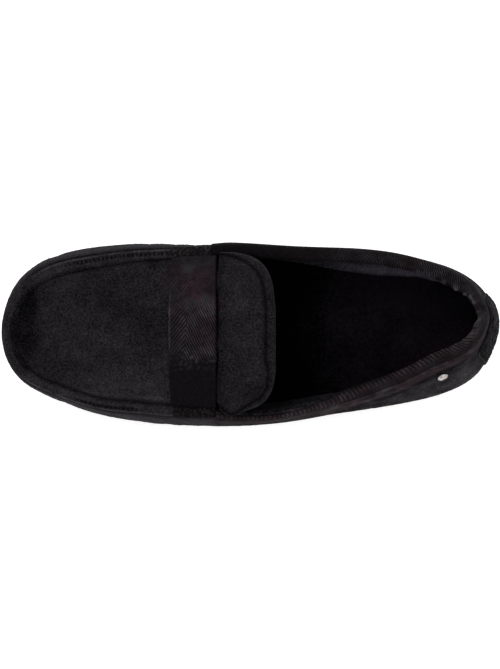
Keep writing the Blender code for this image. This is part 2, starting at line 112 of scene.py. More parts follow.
CROWN = ((0.0, 0.0), (0.12, 3.4), (0.3, 6.6), (0.55, 9.6), (0.8, 12.8), (1.0, 15.5))
CROWN_POWER = 0.75
BAND_FRONT_X, BAND_REAR_X = -46.4, -19.2
TONGUE = (
    # x, y_med, y_lat, z_med, z_lat, z_mid
    (-24.4, 38.4, -38.0, 61.0, 61.6, 72.6),
    (-18.9, 40.6, -40.2, 62.3, 62.9, 74.0),
    (-17.2, 45.0, -45.6, 64.4, 65.8, 75.4),
    (-11.0, 44.9, -49.4, 65.6, 67.2, 78.6),
    (-3.0, 43.5, -46.5, 67.4, 68.4, 81.4),
    (4.4, 40.0, -43.8, 70.0, 70.4, 83.6),
    (9.4, 34.4, -40.0, 73.4, 72.8, 85.0),
    (12.8, 25.2, -33.8, 77.6, 76.4, 85.9),
    (14.4, 11.0, -25.0, 82.0, 80.4, 86.4),
)

# ---------------------------------------------------------------- the shoe's functions, on arrays
ROWS = len(SECTIONS)
HALF = sum(STEPS)
STATIONS = 2 * HALF
table = np.array([row[1:] for row in SECTIONS])
belly = table[:, :2]
chord = np.linalg.norm(np.roll(belly, -1, 0) - belly, axis=1)
knots = np.concatenate([[0.0], np.cumsum(chord)])
ROUND = knots[-1]


def second_derivatives(points, h):
    m = len(points)
    a = np.zeros((m, m))
    b = np.zeros_like(points)
    for i in range(m):
        a[i, (i - 1) % m] += h[i - 1]
        a[i, i] += 2 * (h[i - 1] + h[i])
        a[i, (i + 1) % m] += h[i]
        b[i] = 6 * ((points[(i + 1) % m] - points[i]) / h[i] - (points[i] - points[i - 1]) / h[i - 1])
    return np.linalg.solve(a, b)


bend = second_derivatives(belly, chord)


def gap_of(t):
    t = np.mod(np.asarray(t, float), ROUND)
    i = np.clip(np.searchsorted(knots, t, side="right") - 1, 0, ROWS - 1)
    return i, t - knots[i]


def plan(t):
    """Widest points and outward directions at t mm round the shoe."""
    i, s = gap_of(t)
    j, h = (i + 1) % ROWS, chord[i][..., None]
    s = s[..., None]
    p0, p1, m0, m1 = belly[i], belly[j], bend[i], bend[j]
    slope = (p1 - p0) / h - h * (2 * m0 + m1) / 6
    point = p0 + slope * s + m0 * s * s / 2 + (m1 - m0) * s**3 / (6 * h)
    run = slope + m0 * s + (m1 - m0) * s * s / (2 * h)
    run = run / np.linalg.norm(run, axis=-1, keepdims=True)
    return point, np.stack([-run[..., 1], run[..., 0]], -1)


def monotone_slopes(values, h):
    d = (np.roll(values, -1) - values) / h
    back = np.roll(d, 1)
    both = d * back
    return np.where(both > 0, 2 * both / np.where(both > 0, d + back, 1.0), 0.0)


columns = table[:, 2:]
column_slopes = np.stack([monotone_slopes(columns[:, k], chord) for k in range(columns.shape[1])], axis=1)


def sizes(t):
    """tuck, lean, top, lip and rake at t."""
    i, s = gap_of(t)
    j, h = (i + 1) % ROWS, chord[i][..., None]
    u = (s / chord[i])[..., None]
    v = columns[i] * (1 + 2 * u) * (1 - u) ** 2 + column_slopes[i] * h * u * (1 - u) ** 2 + columns[j] * u * u * (3 - 2 * u) + column_slopes[j] * h * u * u * (u - 1)
    return [v[..., k] for k in range(v.shape[-1])]


def along(pairs, at):
    """A smooth curve through (place, value) pairs."""
    p = np.array(pairs, float)
    h, d = np.diff(p[:, 0]), np.diff(p[:, 1]) / np.diff(p[:, 0])
    both = d[1:] * d[:-1]
    m = np.concatenate([[d[0]], np.where(both > 0, 2 * both / np.where(both > 0, d[1:] + d[:-1], 1.0), 0.0), [d[-1]]])
    at = np.clip(np.asarray(at, float), p[0, 0], p[-1, 0])
    i = np.clip(np.searchsorted(p[:, 0], at, side="right") - 1, 0, len(h) - 1)
    u = (at - p[i, 0]) / h[i]
    return p[i, 1] * (1 + 2 * u) * (1 - u) ** 2 + m[i] * h[i] * u * (1 - u) ** 2 + p[i + 1, 1] * u * u * (3 - 2 * u) + m[i + 1] * h[i] * u * u * (u - 1)


def sole_bottom(x):
    x = np.asarray(x, float)
    z = np.where(x < SPRING_FROM, TOE_SPRING * ((SPRING_FROM - x) / SPRING_LENGTH) ** 2, 0.0)
    z = np.where((x > ARCH_FROM) & (x < ARCH_TO), ARCH * np.sin(np.pi * (x - ARCH_FROM) / (ARCH_TO - ARCH_FROM)) ** 2, z)
    return np.where(x > HEEL_BEVEL_FROM, HEEL_BEVEL * ((x - HEEL_BEVEL_FROM) / 16.0) ** 2, z)


def sole_top(x):
    x = np.asarray(x, float)
    return SOLE_THICK + np.where(x < SPRING_FROM, TOE_SPRING * ((SPRING_FROM - x) / SPRING_LENGTH) ** 2, 0.0)


station_t = []
for row in range(ROWS):
    n = STEPS[row] if row < ROWS // 2 else STEPS[ROWS - 1 - row]
    station_t += [knots[row] + chord[row] * k / n for k in range(n)]
station_t = np.array(station_t)


def t_of(d):
    """Place round the shoe of station d, which may be a fraction or negative."""
    d = np.asarray(d, float)
    whole = np.floor(d).astype(int)
    t0 = station_t[whole % STATIONS] + ROUND * (whole // STATIONS)
    t1 = station_t[(whole + 1) % STATIONS] + ROUND * ((whole + 1) // STATIONS)
    return t0 + (t1 - t0) * (d - whole)


THROAT = sum(STEPS[:THROAT_ROW])
SIDE = THROAT - TOE_SIDE
T_THROAT_MED, T_THROAT_LAT = float(t_of(THROAT)), float(t_of(STATIONS - THROAT))
T_FRONT_MED, T_FRONT_LAT = float(t_of(THROAT + 1)), float(t_of(STATIONS - THROAT - 1))


def unit(v):
    return v / np.linalg.norm(v, axis=-1, keepdims=True)


def top_frame(t):
    """Section sizes at t: belly height, corner, and the directions up the wall and in from it."""
    point, out = plan(t)
    tuck, lean, top, lip, rake = sizes(t)
    zf = sole_top(point[..., 0] - out[..., 0] * tuck) + GAP
    zb = zf + BELLY_RISE
    corner = np.stack([-lean, top], -1)
    e1 = unit(np.stack([-rake * lean, top - zb], -1))
    e2 = np.stack([-e1[..., 1], e1[..., 0]], -1)
    return tuck, lip, zf, zb, corner, e1, e2


def lower_curve(t, share):
    """The rounded lower wall, share 0 at the feather line and 1 at the widest line. Gives (stations, shares, 2)."""
    tuck, lip, zf, zb, corner, e1, e2 = top_frame(t)
    a = np.asarray(share) * math.pi / 2
    n = -tuck[:, None] * (1 - np.sin(a))[None]
    z = zf[:, None] + BELLY_RISE * (1 - np.cos(a))[None]
    return np.stack([n, z], -1)


def wall_curve(t, share, roll):
    """The wall from its widest line (share 0) to the start of its top roll (share 1)."""
    tuck, lip, zf, zb, corner, e1, e2 = top_frame(t)
    base = np.stack([np.zeros_like(zb), zb], -1)
    start = corner - np.asarray(roll).reshape(-1, 1) * e1
    length = np.linalg.norm(start - base, axis=-1)
    u = np.asarray(share, float)[None, :, None]
    up = np.array([0.0, 1.0])
    L = length[:, None, None]
    return base[:, None] * (1 + 2 * u) * (1 - u) ** 2 + up * L * u * (1 - u) ** 2 + start[:, None] * u * u * (3 - 2 * u) + e1[:, None] * L * u * u * (u - 1)


def place(t, pairs):
    """(stations, points, 2) section pairs to points in space."""
    point, out = plan(t)
    xy = point[:, None] + out[:, None] * pairs[..., :1]
    return np.concatenate([xy, pairs[..., 1:]], -1)


def groove(d):
    t = t_of(np.atleast_1d(d))
    tuck, lip, zf, zb, corner, e1, e2 = top_frame(t)
    last = corner + np.stack([-lip, np.full_like(lip, -GROOVE_DROP)], -1)
    return place(t, last[:, None])[:, 0]


def plug(s, t):
    """The plug on a grid of s (inner to outer side) by t (toe to throat): (len(t), len(s), 3)."""
    s, t = np.asarray(s, float), np.asarray(t, float)
    toe = groove(TOE_SIDE * (1 - 2 * s))[None]
    med, lat = groove(TOE_SIDE + SIDE * t)[:, None], groove(-(TOE_SIDE + SIDE * t))[:, None]
    a, b = groove(TOE_SIDE)[0], groove(-TOE_SIDE)[0]
    c, d = groove(THROAT)[0], groove(-THROAT)[0]
    S, T = s[None, :, None], t[:, None, None]
    throat = c * (1 - S) + d * S
    grid = toe * (1 - T) + throat * T + med * (1 - S) + lat * S - ((1 - T) * ((1 - S) * a + S * b) + T * ((1 - S) * c + S * d))
    grid[..., 2] += along(CROWN, t)[:, None] * np.maximum(4 * s * (1 - s), 0.0)[None] ** CROWN_POWER
    return grid


def inset_points(t, extra):
    point, out = plan(t)
    return point - out * (sizes(t)[0] - extra)[..., None]


# the solids stand with their box centred on the origin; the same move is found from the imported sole
ring = inset_points(station_t, SOLE_OUT)
low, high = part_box("outsole")
SHIFT = np.array([(low[0] + high[0]) / 2 / MM - (ring[:, 0].min() + ring[:, 0].max()) / 2, (low[1] + high[1]) / 2 / MM - (ring[:, 1].min() + ring[:, 1].max()) / 2, 0.0])


def bump(x, centre, width):
    return np.exp(-(((x - centre) / width) ** 2))


def smooth(x, a, b):
    u = np.clip((x - a) / (b - a), 0.0, 1.0)
    return u * u * (3 - 2 * u)


def normals(grid, wrap=False):
    """Unit normals of a grid of points, along cross(rows, columns)."""
    if wrap:
        du = np.roll(grid, -1, 0) - np.roll(grid, 1, 0)
    else:
        du = np.gradient(grid, axis=0)
    dv = np.gradient(grid, axis=1)
    n = np.cross(du, dv)
    return n / np.maximum(np.linalg.norm(n, axis=-1, keepdims=True), 1e-9)


def run_length(points, axis=0):
    d = np.linalg.norm(np.diff(points, axis=axis), axis=-1)
    return np.concatenate([np.zeros_like(np.take(d, [0], axis=axis)), np.cumsum(d, axis=axis)], axis=axis)


# ---------------------------------------------------------------- making meshes
def mesh_object(name, points, faces, material, attributes=None, body="root", closed=False):
    """A smooth mesh from points in mm. A closed one is welded and turned to face outward."""
    mesh = bpy.data.meshes.new(name)
    pts = (np.asarray(points, float).reshape(-1, 3) + SHIFT) * MM
    mesh.from_pydata(pts.tolist(), [], [list(map(int, f)) for f in faces])
    mesh.validate()
    for key, values in (attributes or {}).items():
        values = np.asarray(values, np.float32)
        if values.ndim == 1:
            mesh.attributes.new(key, "FLOAT", "POINT").data.foreach_set("value", values)
        else:
            mesh.attributes.new(key, "FLOAT_VECTOR", "POINT").data.foreach_set("vector", values.reshape(-1))
    if closed:
        bm = bmesh.new()
        bm.from_mesh(mesh)
        bmesh.ops.remove_doubles(bm, verts=bm.verts, dist=1e-6)
        bmesh.ops.dissolve_degenerate(bm, edges=bm.edges, dist=1e-7)
        bmesh.ops.recalc_face_normals(bm, faces=bm.faces)
        bm.to_mesh(mesh)
        bm.free()
    mesh.shade_smooth()
    mesh.materials.append(material)
    ob = bpy.data.objects.new(name, mesh)
    bpy.context.scene.collection.objects.link(ob)
    if body:
        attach(ob, body)
    return ob


def grid_faces(nu, nv, wrap_u=False, wrap_v=False, flip=False, start=0):
    """Quads of an nu by nv grid; faces look along cross(u, v) unless flipped."""
    u = np.arange(nu if wrap_u else nu - 1)
    v = np.arange(nv if wrap_v else nv - 1)
    U, V = np.meshgrid(u, v, indexing="ij")
    U1, V1 = (U + 1) % nu, (V + 1) % nv
    q = np.stack([U * nv + V, U1 * nv + V, U1 * nv + V1, U * nv + V1], -1).reshape(-1, 4) + start
    return q[:, ::-1] if flip else q


def slab(top, under, flip=False):
    """Points and faces of a closed plate between two grids of the same shape."""
    nu, nv = top.shape[:2]
    count = nu * nv
    faces = np.concatenate([grid_faces(nu, nv, flip=flip), grid_faces(nu, nv, flip=not flip, start=count)]).tolist()
    rim = [k * nv for k in range(nu)] + [(nu - 1) * nv + k for k in range(1, nv)] + [k * nv + nv - 1 for k in range(nu - 2, -1, -1)] + list(range(nv - 2, 0, -1))
    for a, b in zip(rim, rim[1:] + rim[:1]):
        faces.append([a, b, b + count, a + count])
    return np.concatenate([top.reshape(-1, 3), under.reshape(-1, 3)]), faces


def lattice_noise(points, size, seed):
    """Smooth noise from 0 to 1 with features of about size mm, the same on every run."""
    values = np.random.default_rng(seed).random((32, 32, 32))
    q = np.asarray(points, float) / size
    i = np.floor(q).astype(int)
    f = q - i
    f = f * f * (3 - 2 * f)
    total = 0.0
    for dx in (0, 1):
        for dy in (0, 1):
            for dz in (0, 1):
                weight = (f[..., 0] if dx else 1 - f[..., 0]) * (f[..., 1] if dy else 1 - f[..., 1]) * (f[..., 2] if dz else 1 - f[..., 2])
                total = total + weight * values[(i[..., 0] + dx) % 32, (i[..., 1] + dy) % 32, (i[..., 2] + dz) % 32]
    return total


class Joined:
    """Many small meshes gathered into one."""

    def __init__(self):
        self.points, self.faces, self.count = [], [], 0
        self.attributes = {}

    def add(self, points, faces, **attributes):
        points = np.asarray(points, float).reshape(-1, 3)
        self.points.append(points)
        self.faces.extend((np.asarray(f) + self.count).tolist() for f in faces)
        for key, value in attributes.items():
            value = np.asarray(value, float)
            if value.ndim == 0:
                value = np.full(len(points), float(value))
            self.attributes.setdefault(key, []).append(value)
        self.count += len(points)

    def make(self, name, material):
        return mesh_object(name, np.concatenate(self.points), self.faces, material, {k: np.concatenate(v) for k, v in self.attributes.items()}, closed=True)


def tube(path, ups, radius, sides=8, flat=1.0, taper=0.55):
    """A closed thread along a path: points, faces. ups are directions away from the surface."""
    path, ups = np.asarray(path, float), np.asarray(ups, float)
    n = len(path)
    run = unit(np.gradient(path, axis=0))
    side = unit(np.cross(run, ups))
    up = np.cross(side, run)
    shape = np.full(n, 1.0)
    shape[0] = shape[-1] = taper
    a = np.arange(sides) * 2 * math.pi / sides
    ringp = path[:, None] + radius * shape[:, None, None] * (np.cos(a)[None, :, None] * side[:, None] + flat * np.sin(a)[None, :, None] * up[:, None])
    faces = grid_faces(n, sides, wrap_v=True).tolist()
    faces.append(list(range(sides)))
    faces.append([(n - 1) * sides + k for k in range(sides)][::-1])
    return ringp.reshape(-1, 3), faces


# ---------------------------------------------------------------- materials
def new_material(name):
    mat = bpy.data.materials.new(name)
    mat.use_nodes = True
    tree = mat.node_tree
    return mat, tree, tree.nodes["Principled BSDF"]


class Net:
    """Short names for building a node tree."""

    def __init__(self, tree):
        self.tree = tree

    def node(self, kind, **values):
        n = self.tree.nodes.new(kind)
        for key, value in values.items():
            setattr(n, key, value)
        return n

    def link(self, a, b):
        self.tree.links.new(a, b)

    def put(self, socket, value):
        if hasattr(value, "is_output"):
            self.link(value, socket)
        else:
            socket.default_value = value

    def math(self, op, a, b=0.0, c=0.0):
        n = self.node("ShaderNodeMath", operation=op)
        for k, value in enumerate((a, b, c)):
            self.put(n.inputs[k], value)
        return n.outputs[0]

    def object_coords(self):
        return self.node("ShaderNodeTexCoord").outputs["Object"]

    def noise(self, vector, scale, detail=3.0, rough=0.55, distortion=0.0):
        n = self.node("ShaderNodeTexNoise")
        self.put(n.inputs["Vector"], vector)
        n.inputs["Scale"].default_value = scale
        n.inputs["Detail"].default_value = detail
        n.inputs["Roughness"].default_value = rough
        n.inputs["Distortion"].default_value = distortion
        return n.outputs["Fac"]

    def cells(self, vector, scale, feature="F1"):
        n = self.node("ShaderNodeTexVoronoi", feature=feature)
        self.put(n.inputs["Vector"], vector)
        n.inputs["Scale"].default_value = scale
        return n.outputs["Distance"]

    def span(self, value, a, b, c=0.0, d=1.0, soft=False):
        n = self.node("ShaderNodeMapRange", interpolation_type="SMOOTHSTEP" if soft else "LINEAR")
        for k, v in zip((0, 1, 2, 3, 4), (value, a, b, c, d)):
            self.put(n.inputs[k], v)
        return n.outputs[0]

    def mix(self, factor, a, b):
        n = self.node("ShaderNodeMix", data_type="RGBA")
        self.put(n.inputs[0], factor)
        self.put(n.inputs[6], a)
        self.put(n.inputs[7], b)
        return n.outputs[2]

    def attribute(self, name, output="Fac"):
        n = self.node("ShaderNodeAttribute", attribute_name=name)
        return n.outputs[output]

    def split(self, vector):
        n = self.node("ShaderNodeSeparateXYZ")
        self.put(n.inputs[0], vector)
        return n.outputs

    def bump(self, height, distance, strength=1.0, before=None):
        n = self.node("ShaderNodeBump")
        self.put(n.inputs["Height"], height)
        n.inputs["Distance"].default_value = distance
        n.inputs["Strength"].default_value = strength
        if before is not None:
            self.link(before, n.inputs["Normal"])
        return n.outputs[0]


def grey(r, g, b):
    return (r, g, b, 1.0)


def suede_material(name, dark, light, sheen=0.028):
    """Brushed nap: broad smudges where it lies one way or the other, a fine grain, and the point attribute tone, which
    adds the nap's own smudges, painted highlights on edges and painted shade in grooves and creases.
    """
    mat, tree, shader = new_material(name)
    k = Net(tree)
    at = k.object_coords()
    broad = k.noise(at, 46.0, 3.0, 0.6, 0.6)
    blotch = k.noise(at, 170.0, 4.0, 0.6, 0.3)
    grain = k.noise(at, 900.0, 4.0, 0.72)
    tone = k.math("ADD", k.span(broad, 0.3, 0.7, -0.12, 0.12), k.span(blotch, 0.3, 0.7, -0.13, 0.13))
    tone = k.math("ADD", tone, k.span(grain, 0.28, 0.72, -0.64, 0.64))
    tone = k.math("ADD", tone, k.attribute("tone"))
    tone = k.math("ADD", tone, 0.5)
    tone = k.math("POWER", k.span(tone, -0.5, 1.8), 2.0)
    k.link(k.mix(tone, grey(*dark), grey(*light)), shader.inputs["Base Color"])
    rough = k.span(grain, 0.2, 0.8, 0.86, 1.0)
    k.link(rough, shader.inputs["Roughness"])
    shader.inputs["Specular IOR Level"].default_value = 0.012
    shader.inputs["Sheen Weight"].default_value = sheen
    shader.inputs["Sheen Roughness"].default_value = 0.45
    shader.inputs["Sheen Tint"].default_value = grey(0.55, 0.52, 0.56)
    n1 = k.bump(k.noise(at, 620.0, 4.0, 0.65), 0.00055, 0.6)
    n2 = k.bump(k.noise(at, 2300.0, 3.0, 0.7), 0.00035, 0.7, n1)
    k.link(n2, shader.inputs["Normal"])
    return mat


def herringbone_material(name, stripe, pitch, slope, black, pale, red):
    """Twill stripes that turn back at each spine. The point attribute weave holds (across, along, strength), in mm;
    plain adds even colour between the ribs and tint turns the yarn from grey to red."""
    mat, tree, shader = new_material(name)
    k = Net(tree)
    at = k.object_coords()
    across, run, strength = k.split(k.attribute("weave", "Vector"))
    wobble = k.math("ADD", k.span(k.noise(at, 420.0, 2.0), 0.3, 0.7, -0.24, 0.24), k.span(k.noise(at, 110.0, 2.0), 0.3, 0.7, -0.18, 0.18))
    zig = k.math("PINGPONG", across, stripe)
    place_ = k.math("ADD", k.math("MULTIPLY_ADD", zig, slope, run), wobble)
    wave = k.math("SINE", k.math("MULTIPLY", place_, 2 * math.pi / pitch))
    rib = k.span(k.math("ADD", wave, k.span(k.noise(at, 900.0, 3.0, 0.7), 0.3, 0.7, -0.45, 0.45)), -0.3, 0.95, 0.0, 1.0, True)
    fibre = k.noise(at, 1500.0, 3.0, 0.7)
    patchy = k.span(k.noise(at, 150.0, 3.0, 0.6, 0.4), 0.34, 0.66, 0.25, 1.05)
    yarn = k.math("MULTIPLY", k.span(fibre, 0.25, 0.75, 0.5, 1.2), patchy)
    lit = k.math("MULTIPLY", rib, yarn)
    lit = k.math("MULTIPLY", lit, strength)
    lit = k.span(k.math("ADD", lit, k.math("MULTIPLY", k.attribute("plain"), yarn)), 0.0, 1.0)
    hue = k.span(k.math("ADD", k.noise(at, 60.0, 2.0, 0.5), k.attribute("tint")), 0.4, 0.6, 0.0, 1.0, True)
    ground = k.mix(k.span(k.noise(at, 650.0, 4.0, 0.7), 0.3, 0.7), grey(*[c * 0.45 for c in black]), grey(*[c * 1.55 for c in black]))
    colour = k.mix(lit, ground, k.mix(hue, grey(*pale), grey(*red)))
    k.link(colour, shader.inputs["Base Color"])
    shader.inputs["Roughness"].default_value = 0.82
    shader.inputs["Specular IOR Level"].default_value = 0.015
    shader.inputs["Sheen Weight"].default_value = 0.006
    shader.inputs["Sheen Roughness"].default_value = 0.5
    shader.inputs["Sheen Tint"].default_value = grey(0.5, 0.42, 0.46)
    height = k.math("ADD", k.math("MULTIPLY", rib, strength), k.math("MULTIPLY", fibre, 0.5))
    k.link(k.bump(height, 0.00035, 0.8), shader.inputs["Normal"])
    return mat


def boucle_material(name, dark, light):
    """Knotty yarn: pale tufts with dark between them."""
    mat, tree, shader = new_material(name)
    k = Net(tree)
    at = k.object_coords()
    tuft = k.span(k.cells(at, 560.0), 0.12, 0.62, 1.0, 0.0)
    fibre = k.noise(at, 1700.0, 3.0, 0.7)
    patchy = k.span(k.noise(at, 210.0, 2.0), 0.35, 0.65, 0.35, 1.0)
    lit = k.math("MULTIPLY", k.math("MULTIPLY", tuft, patchy), k.span(fibre, 0.3, 0.7, 0.4, 1.2))
    k.link(k.mix(k.span(lit, 0.0, 1.0), grey(*dark), grey(*light)), shader.inputs["Base Color"])
    shader.inputs["Roughness"].default_value = 0.95
    shader.inputs["Specular IOR Level"].default_value = 0.015
    k.link(k.bump(k.math("ADD", tuft, k.math("MULTIPLY", fibre, 0.4)), 0.0005, 0.8), shader.inputs["Normal"])
    return mat


def fleece_material(name, dark, light):
    mat, tree, shader = new_material(name)
    k = Net(tree)
    at = k.object_coords()
    curls = k.cells(at, 520.0)
    fuzz = k.noise(at, 1300.0, 4.0, 0.7, 0.8)
    broad = k.noise(at, 70.0, 3.0, 0.6)
    tone = k.math("ADD", k.span(curls, 0.05, 0.75, 0.6, 0.25), k.span(fuzz, 0.3, 0.7, -0.25, 0.25))
    tone = k.math("ADD", tone, k.span(broad, 0.35, 0.65, -0.12, 0.12))
    tone = k.math("ADD", tone, k.attribute("tone"))
    tone = k.span(tone, 0.0, 1.0)
    k.link(k.mix(tone, grey(*dark), grey(*light)), shader.inputs["Base Color"])
    shader.inputs["Roughness"].default_value = 1.0
    shader.inputs["Specular IOR Level"].default_value = 0.01
    shader.inputs["Sheen Weight"].default_value = 0.004
    shader.inputs["Sheen Roughness"].default_value = 0.6
    shader.inputs["Sheen Tint"].default_value = grey(0.5, 0.45, 0.5)
    height = k.math("SUBTRACT", k.math("MULTIPLY", fuzz, 0.8), curls)
    k.link(k.bump(height, 0.0007, 0.6), shader.inputs["Normal"])
    return mat


def thread_material(name, colour):
    mat, tree, shader = new_material(name)
    k = Net(tree)
    at = k.object_coords()
    twist = k.noise(at, 2600.0, 2.0, 0.6)
    k.link(k.mix(k.span(twist, 0.3, 0.7), grey(*[c * 0.6 for c in colour]), grey(*[c * 1.4 for c in colour])), shader.inputs["Base Color"])
    shader.inputs["Roughness"].default_value = 0.7
    shader.inputs["Specular IOR Level"].default_value = 0.04
    k.link(k.bump(twist, 0.0002, 0.6), shader.inputs["Normal"])
    return mat


def rubber_material(name, dark, light):
    mat, tree, shader = new_material(name)
    k = Net(tree)
    at = k.object_coords()
    grain = k.noise(at, 900.0, 4.0, 0.6)
    dust = k.noise(at, 55.0, 4.0, 0.65, 0.4)
    tone = k.math("ADD", k.span(grain, 0.3, 0.7, 0.0, 0.4), k.span(dust, 0.4, 0.7, 0.0, 0.6))
    k.link(k.mix(tone, grey(*dark), grey(*light)), shader.inputs["Base Color"])
    k.link(k.span(dust, 0.35, 0.7, 0.62, 0.86), shader.inputs["Roughness"])
    shader.inputs["Specular IOR Level"].default_value = 0.35
    k.link(k.bump(grain, 0.00025, 0.5), shader.inputs["Normal"])
    return mat


def metal_material(name, colour, dirt_and_shade):
    """Brushed metal; a point attribute turns it dull and dark: dirt round the rim, and painted shade with a painted
    reflection of the dark wall on its lower side.
    """
    mat, tree, shader = new_material(name)
    k = Net(tree)
    at = k.object_coords()
    tarnish = k.noise(at, 900.0, 4.0, 0.6)
    clean = k.mix(k.span(tarnish, 0.35, 0.7), grey(*colour), grey(*[c * 0.82 for c in colour]))
    dirt_and_shade_share = k.span(k.math("ADD", k.attribute("dirt_and_shade"), k.span(tarnish, 0.3, 0.7, -0.15, 0.15)), 0.1, 0.9)
    k.link(k.mix(dirt_and_shade_share, clean, grey(*dirt_and_shade)), shader.inputs["Base Color"])
    k.link(k.span(dirt_and_shade_share, 0.0, 1.0, 1.0, 0.0), shader.inputs["Metallic"])
    k.link(k.span(dirt_and_shade_share, 0.0, 1.0, 0.5, 0.03), shader.inputs["Specular IOR Level"])
    k.link(k.math("ADD", k.span(tarnish, 0.3, 0.7, 0.26, 0.4), k.span(dirt_and_shade_share, 0.0, 1.0, 0.0, 0.45)), shader.inputs["Roughness"])
    k.link(k.bump(k.noise(at, 4200.0, 2.0), 0.00004, 0.4), shader.inputs["Normal"])
    return mat


STRIPE, RIB, RIB_SLOPE, RIB_LEAN = 40.0, 2.62, 1.32, 0.107  # herringbone of the band: stripe width, rib pitch, slant and lean of the spine
BIND_RIB, BIND_SLOPE = 2.5, 1.15  # rib pitch and slant on the collar binding
SUEDE = suede_material("suede", (0.0006, 0.0004, 0.0006), (0.0570, 0.0515, 0.0585))
LINING = suede_material("lining", (0.0006, 0.0005, 0.0007), (0.0800, 0.0730, 0.0900), 0.004)
CLOTH = herringbone_material("herringbone", STRIPE, RIB, RIB_SLOPE, (0.0044, 0.0037, 0.0047), (0.066, 0.057, 0.063), (0.059, 0.034, 0.044))
BOUCLE = boucle_material("herringbone_tab", (0.0060, 0.0053, 0.0058), (0.036, 0.0335, 0.036))
# the outer tab is the same cloth as the inner one in a darker copy: painted shade
BOUCLE_SHADED = boucle_material("herringbone_tab_shaded", (0.0040, 0.0033, 0.0036), (0.0205, 0.0186, 0.0184))
BINDING = herringbone_material("herringbone_binding", 40.0, BIND_RIB, -BIND_SLOPE, (0.0034, 0.0028, 0.0033), (0.068, 0.061, 0.067), (0.063, 0.042, 0.051))
FLEECE = fleece_material("fleece", (0.0007, 0.0005, 0.0008), (0.0095, 0.0070, 0.0100))
THREAD = thread_material("thread", (0.0012, 0.0010, 0.0012))
THREAD_WORN = thread_material("thread_worn", (0.0046, 0.0041, 0.0046))
RUBBER = rubber_material("sole_rubber", (0.0055, 0.0055, 0.0055), (0.012, 0.0117, 0.0115))
METAL = metal_material("rivet_metal", (0.42, 0.385, 0.375), (0.030, 0.023, 0.020))

# ---------------------------------------------------------------- wall with the apron seam roll
SUEDE_THICK = 1.3
STITCH = 2.5  # stitch spacing on the apron seam
STITCH_IN = 2.9  # stitch row, in from the roll's outer edge
fine_t = np.linspace(T_THROAT_LAT - ROUND, T_THROAT_MED, 4000)
tuck, lip, zf, zb, corner, e1, e2 = top_frame(fine_t)
seam_line = place(fine_t, corner[:, None] + np.array([-STITCH_IN, 0.0]))[:, 0]
seam_run = run_length(seam_line)
SEAM_LENGTH = seam_run[-1]
STITCHES = int(round(SEAM_LENGTH / STITCH))
PER_STITCH = 6
seam_at = np.linspace(0.0, SEAM_LENGTH, STITCHES * PER_STITCH + 1)
fore_t = np.interp(seam_at, seam_run, fine_t)
rear_t = np.linspace(T_THROAT_MED, T_THROAT_LAT, 261)[1:-1]
wall_t = np.concatenate([fore_t, rear_t])
wall_seam = np.concatenate([seam_at, np.zeros(len(rear_t))])
fore_share = np.concatenate([np.ones(len(fore_t)), 1 - smooth(rear_t, T_THROAT_MED, T_FRONT_MED + 2.0) + smooth(rear_t, T_FRONT_LAT - 2.0, T_THROAT_LAT)])


stitch_depth = rng.uniform(0.15, 1.25, STITCHES + 2)


def stitch_row(t):
    """How far in from the roll's outer edge the stitches sit at t, and how plainly they show in the nap."""
    x, y = plan(t)[0].T
    row = STITCH_IN - 1.1 * smooth(-y, 0.0, 25.0)
    shows = np.where(y > 0, smooth(x, -116.0, -98.0), smooth(x, -106.0, -97.0) * (1 - smooth(x, -70.0, -63.0)))
    return row, shows


def seam_relief(m, s, row, shows):
    """Height added on the roll at m mm in from its outer edge and s mm along the seam."""
    own = stitch_depth[np.rint(np.asarray(s) / STITCH).astype(int)]
    wide = 1.0 - 0.4 * (STITCH_IN - row) / 1.1
    beat = (0.5 + 0.5 * np.cos(2 * math.pi * s / STITCH) - 0.35) * (0.08 + 0.92 * shows) * own
    h = 0.55 * bump(m, row + 2.0, 1.3) - 0.5 * (0.3 + 0.7 * shows) * bump(m, row, 0.8)
    return h - (0.75 * bump(m, row, 1.3 * wide) + 0.25 * bump(m, row - 2.2, 1.2) + 0.2 * bump(m, row + 2.3, 1.2)) * beat


lower = lower_curve(wall_t, np.linspace(0, 1, 7)[:-1])
roll_size = fore_share * ROLL + (1 - fore_share) * COLLAR_ROUND
middle = wall_curve(wall_t, np.linspace(0, 1, 17), roll_size)
tuck, lip, zf, zb, corner, e1, e2 = top_frame(wall_t)
start = corner - roll_size[:, None] * e1
inward = np.stack([-lip, np.full_like(lip, -GROOVE_DROP)], -1)
end_f = corner + ROLL * unit(inward)
u = np.linspace(0, 1, 27)[1:][None, :, None]
roll_f = start[:, None] * (1 - u) ** 2 + corner[:, None] * 2 * u * (1 - u) + end_f[:, None] * u * u
u2 = np.linspace(0, 1, 9)[1:][None, :, None]
lip_f = end_f[:, None] + (corner + inward - end_f)[:, None] * u2
over = (corner + inward)[:, None] + np.array([[-0.5, -1.0], [-0.6, -2.0]])[None]
top_f = np.concatenate([roll_f, lip_f, over], 1)
end_r = corner + COLLAR_ROUND * 0.95 * e2
roll_r = start[:, None] * (1 - u) ** 2 + corner[:, None] * 2 * u * (1 - u) + end_r[:, None] * u * u
lip_r = end_r[:, None] + ((COLLAR_WALL / 2 - 0.95 * COLLAR_ROUND) * e2)[:, None] * u2
over_r = np.repeat(lip_r[:, -1:], 2, 1) + np.array([[0.0, -1.0], [0.0, -2.0]])[None]
top_r = np.concatenate([roll_r, lip_r, over_r], 1)
k3 = fore_share[:, None, None]
pairs = np.concatenate([lower, middle, top_f * k3 + top_r * (1 - k3)], 1)
wall = place(wall_t, pairs)
n_out = -normals(wall, wrap=True)
m_in = -(pairs[..., 0] - corner[:, None, 0])
height_share = (pairs[..., 1] - zf[:, None]) / (corner[:, 1] - zf)[:, None]
section_run = run_length(pairs, 1)
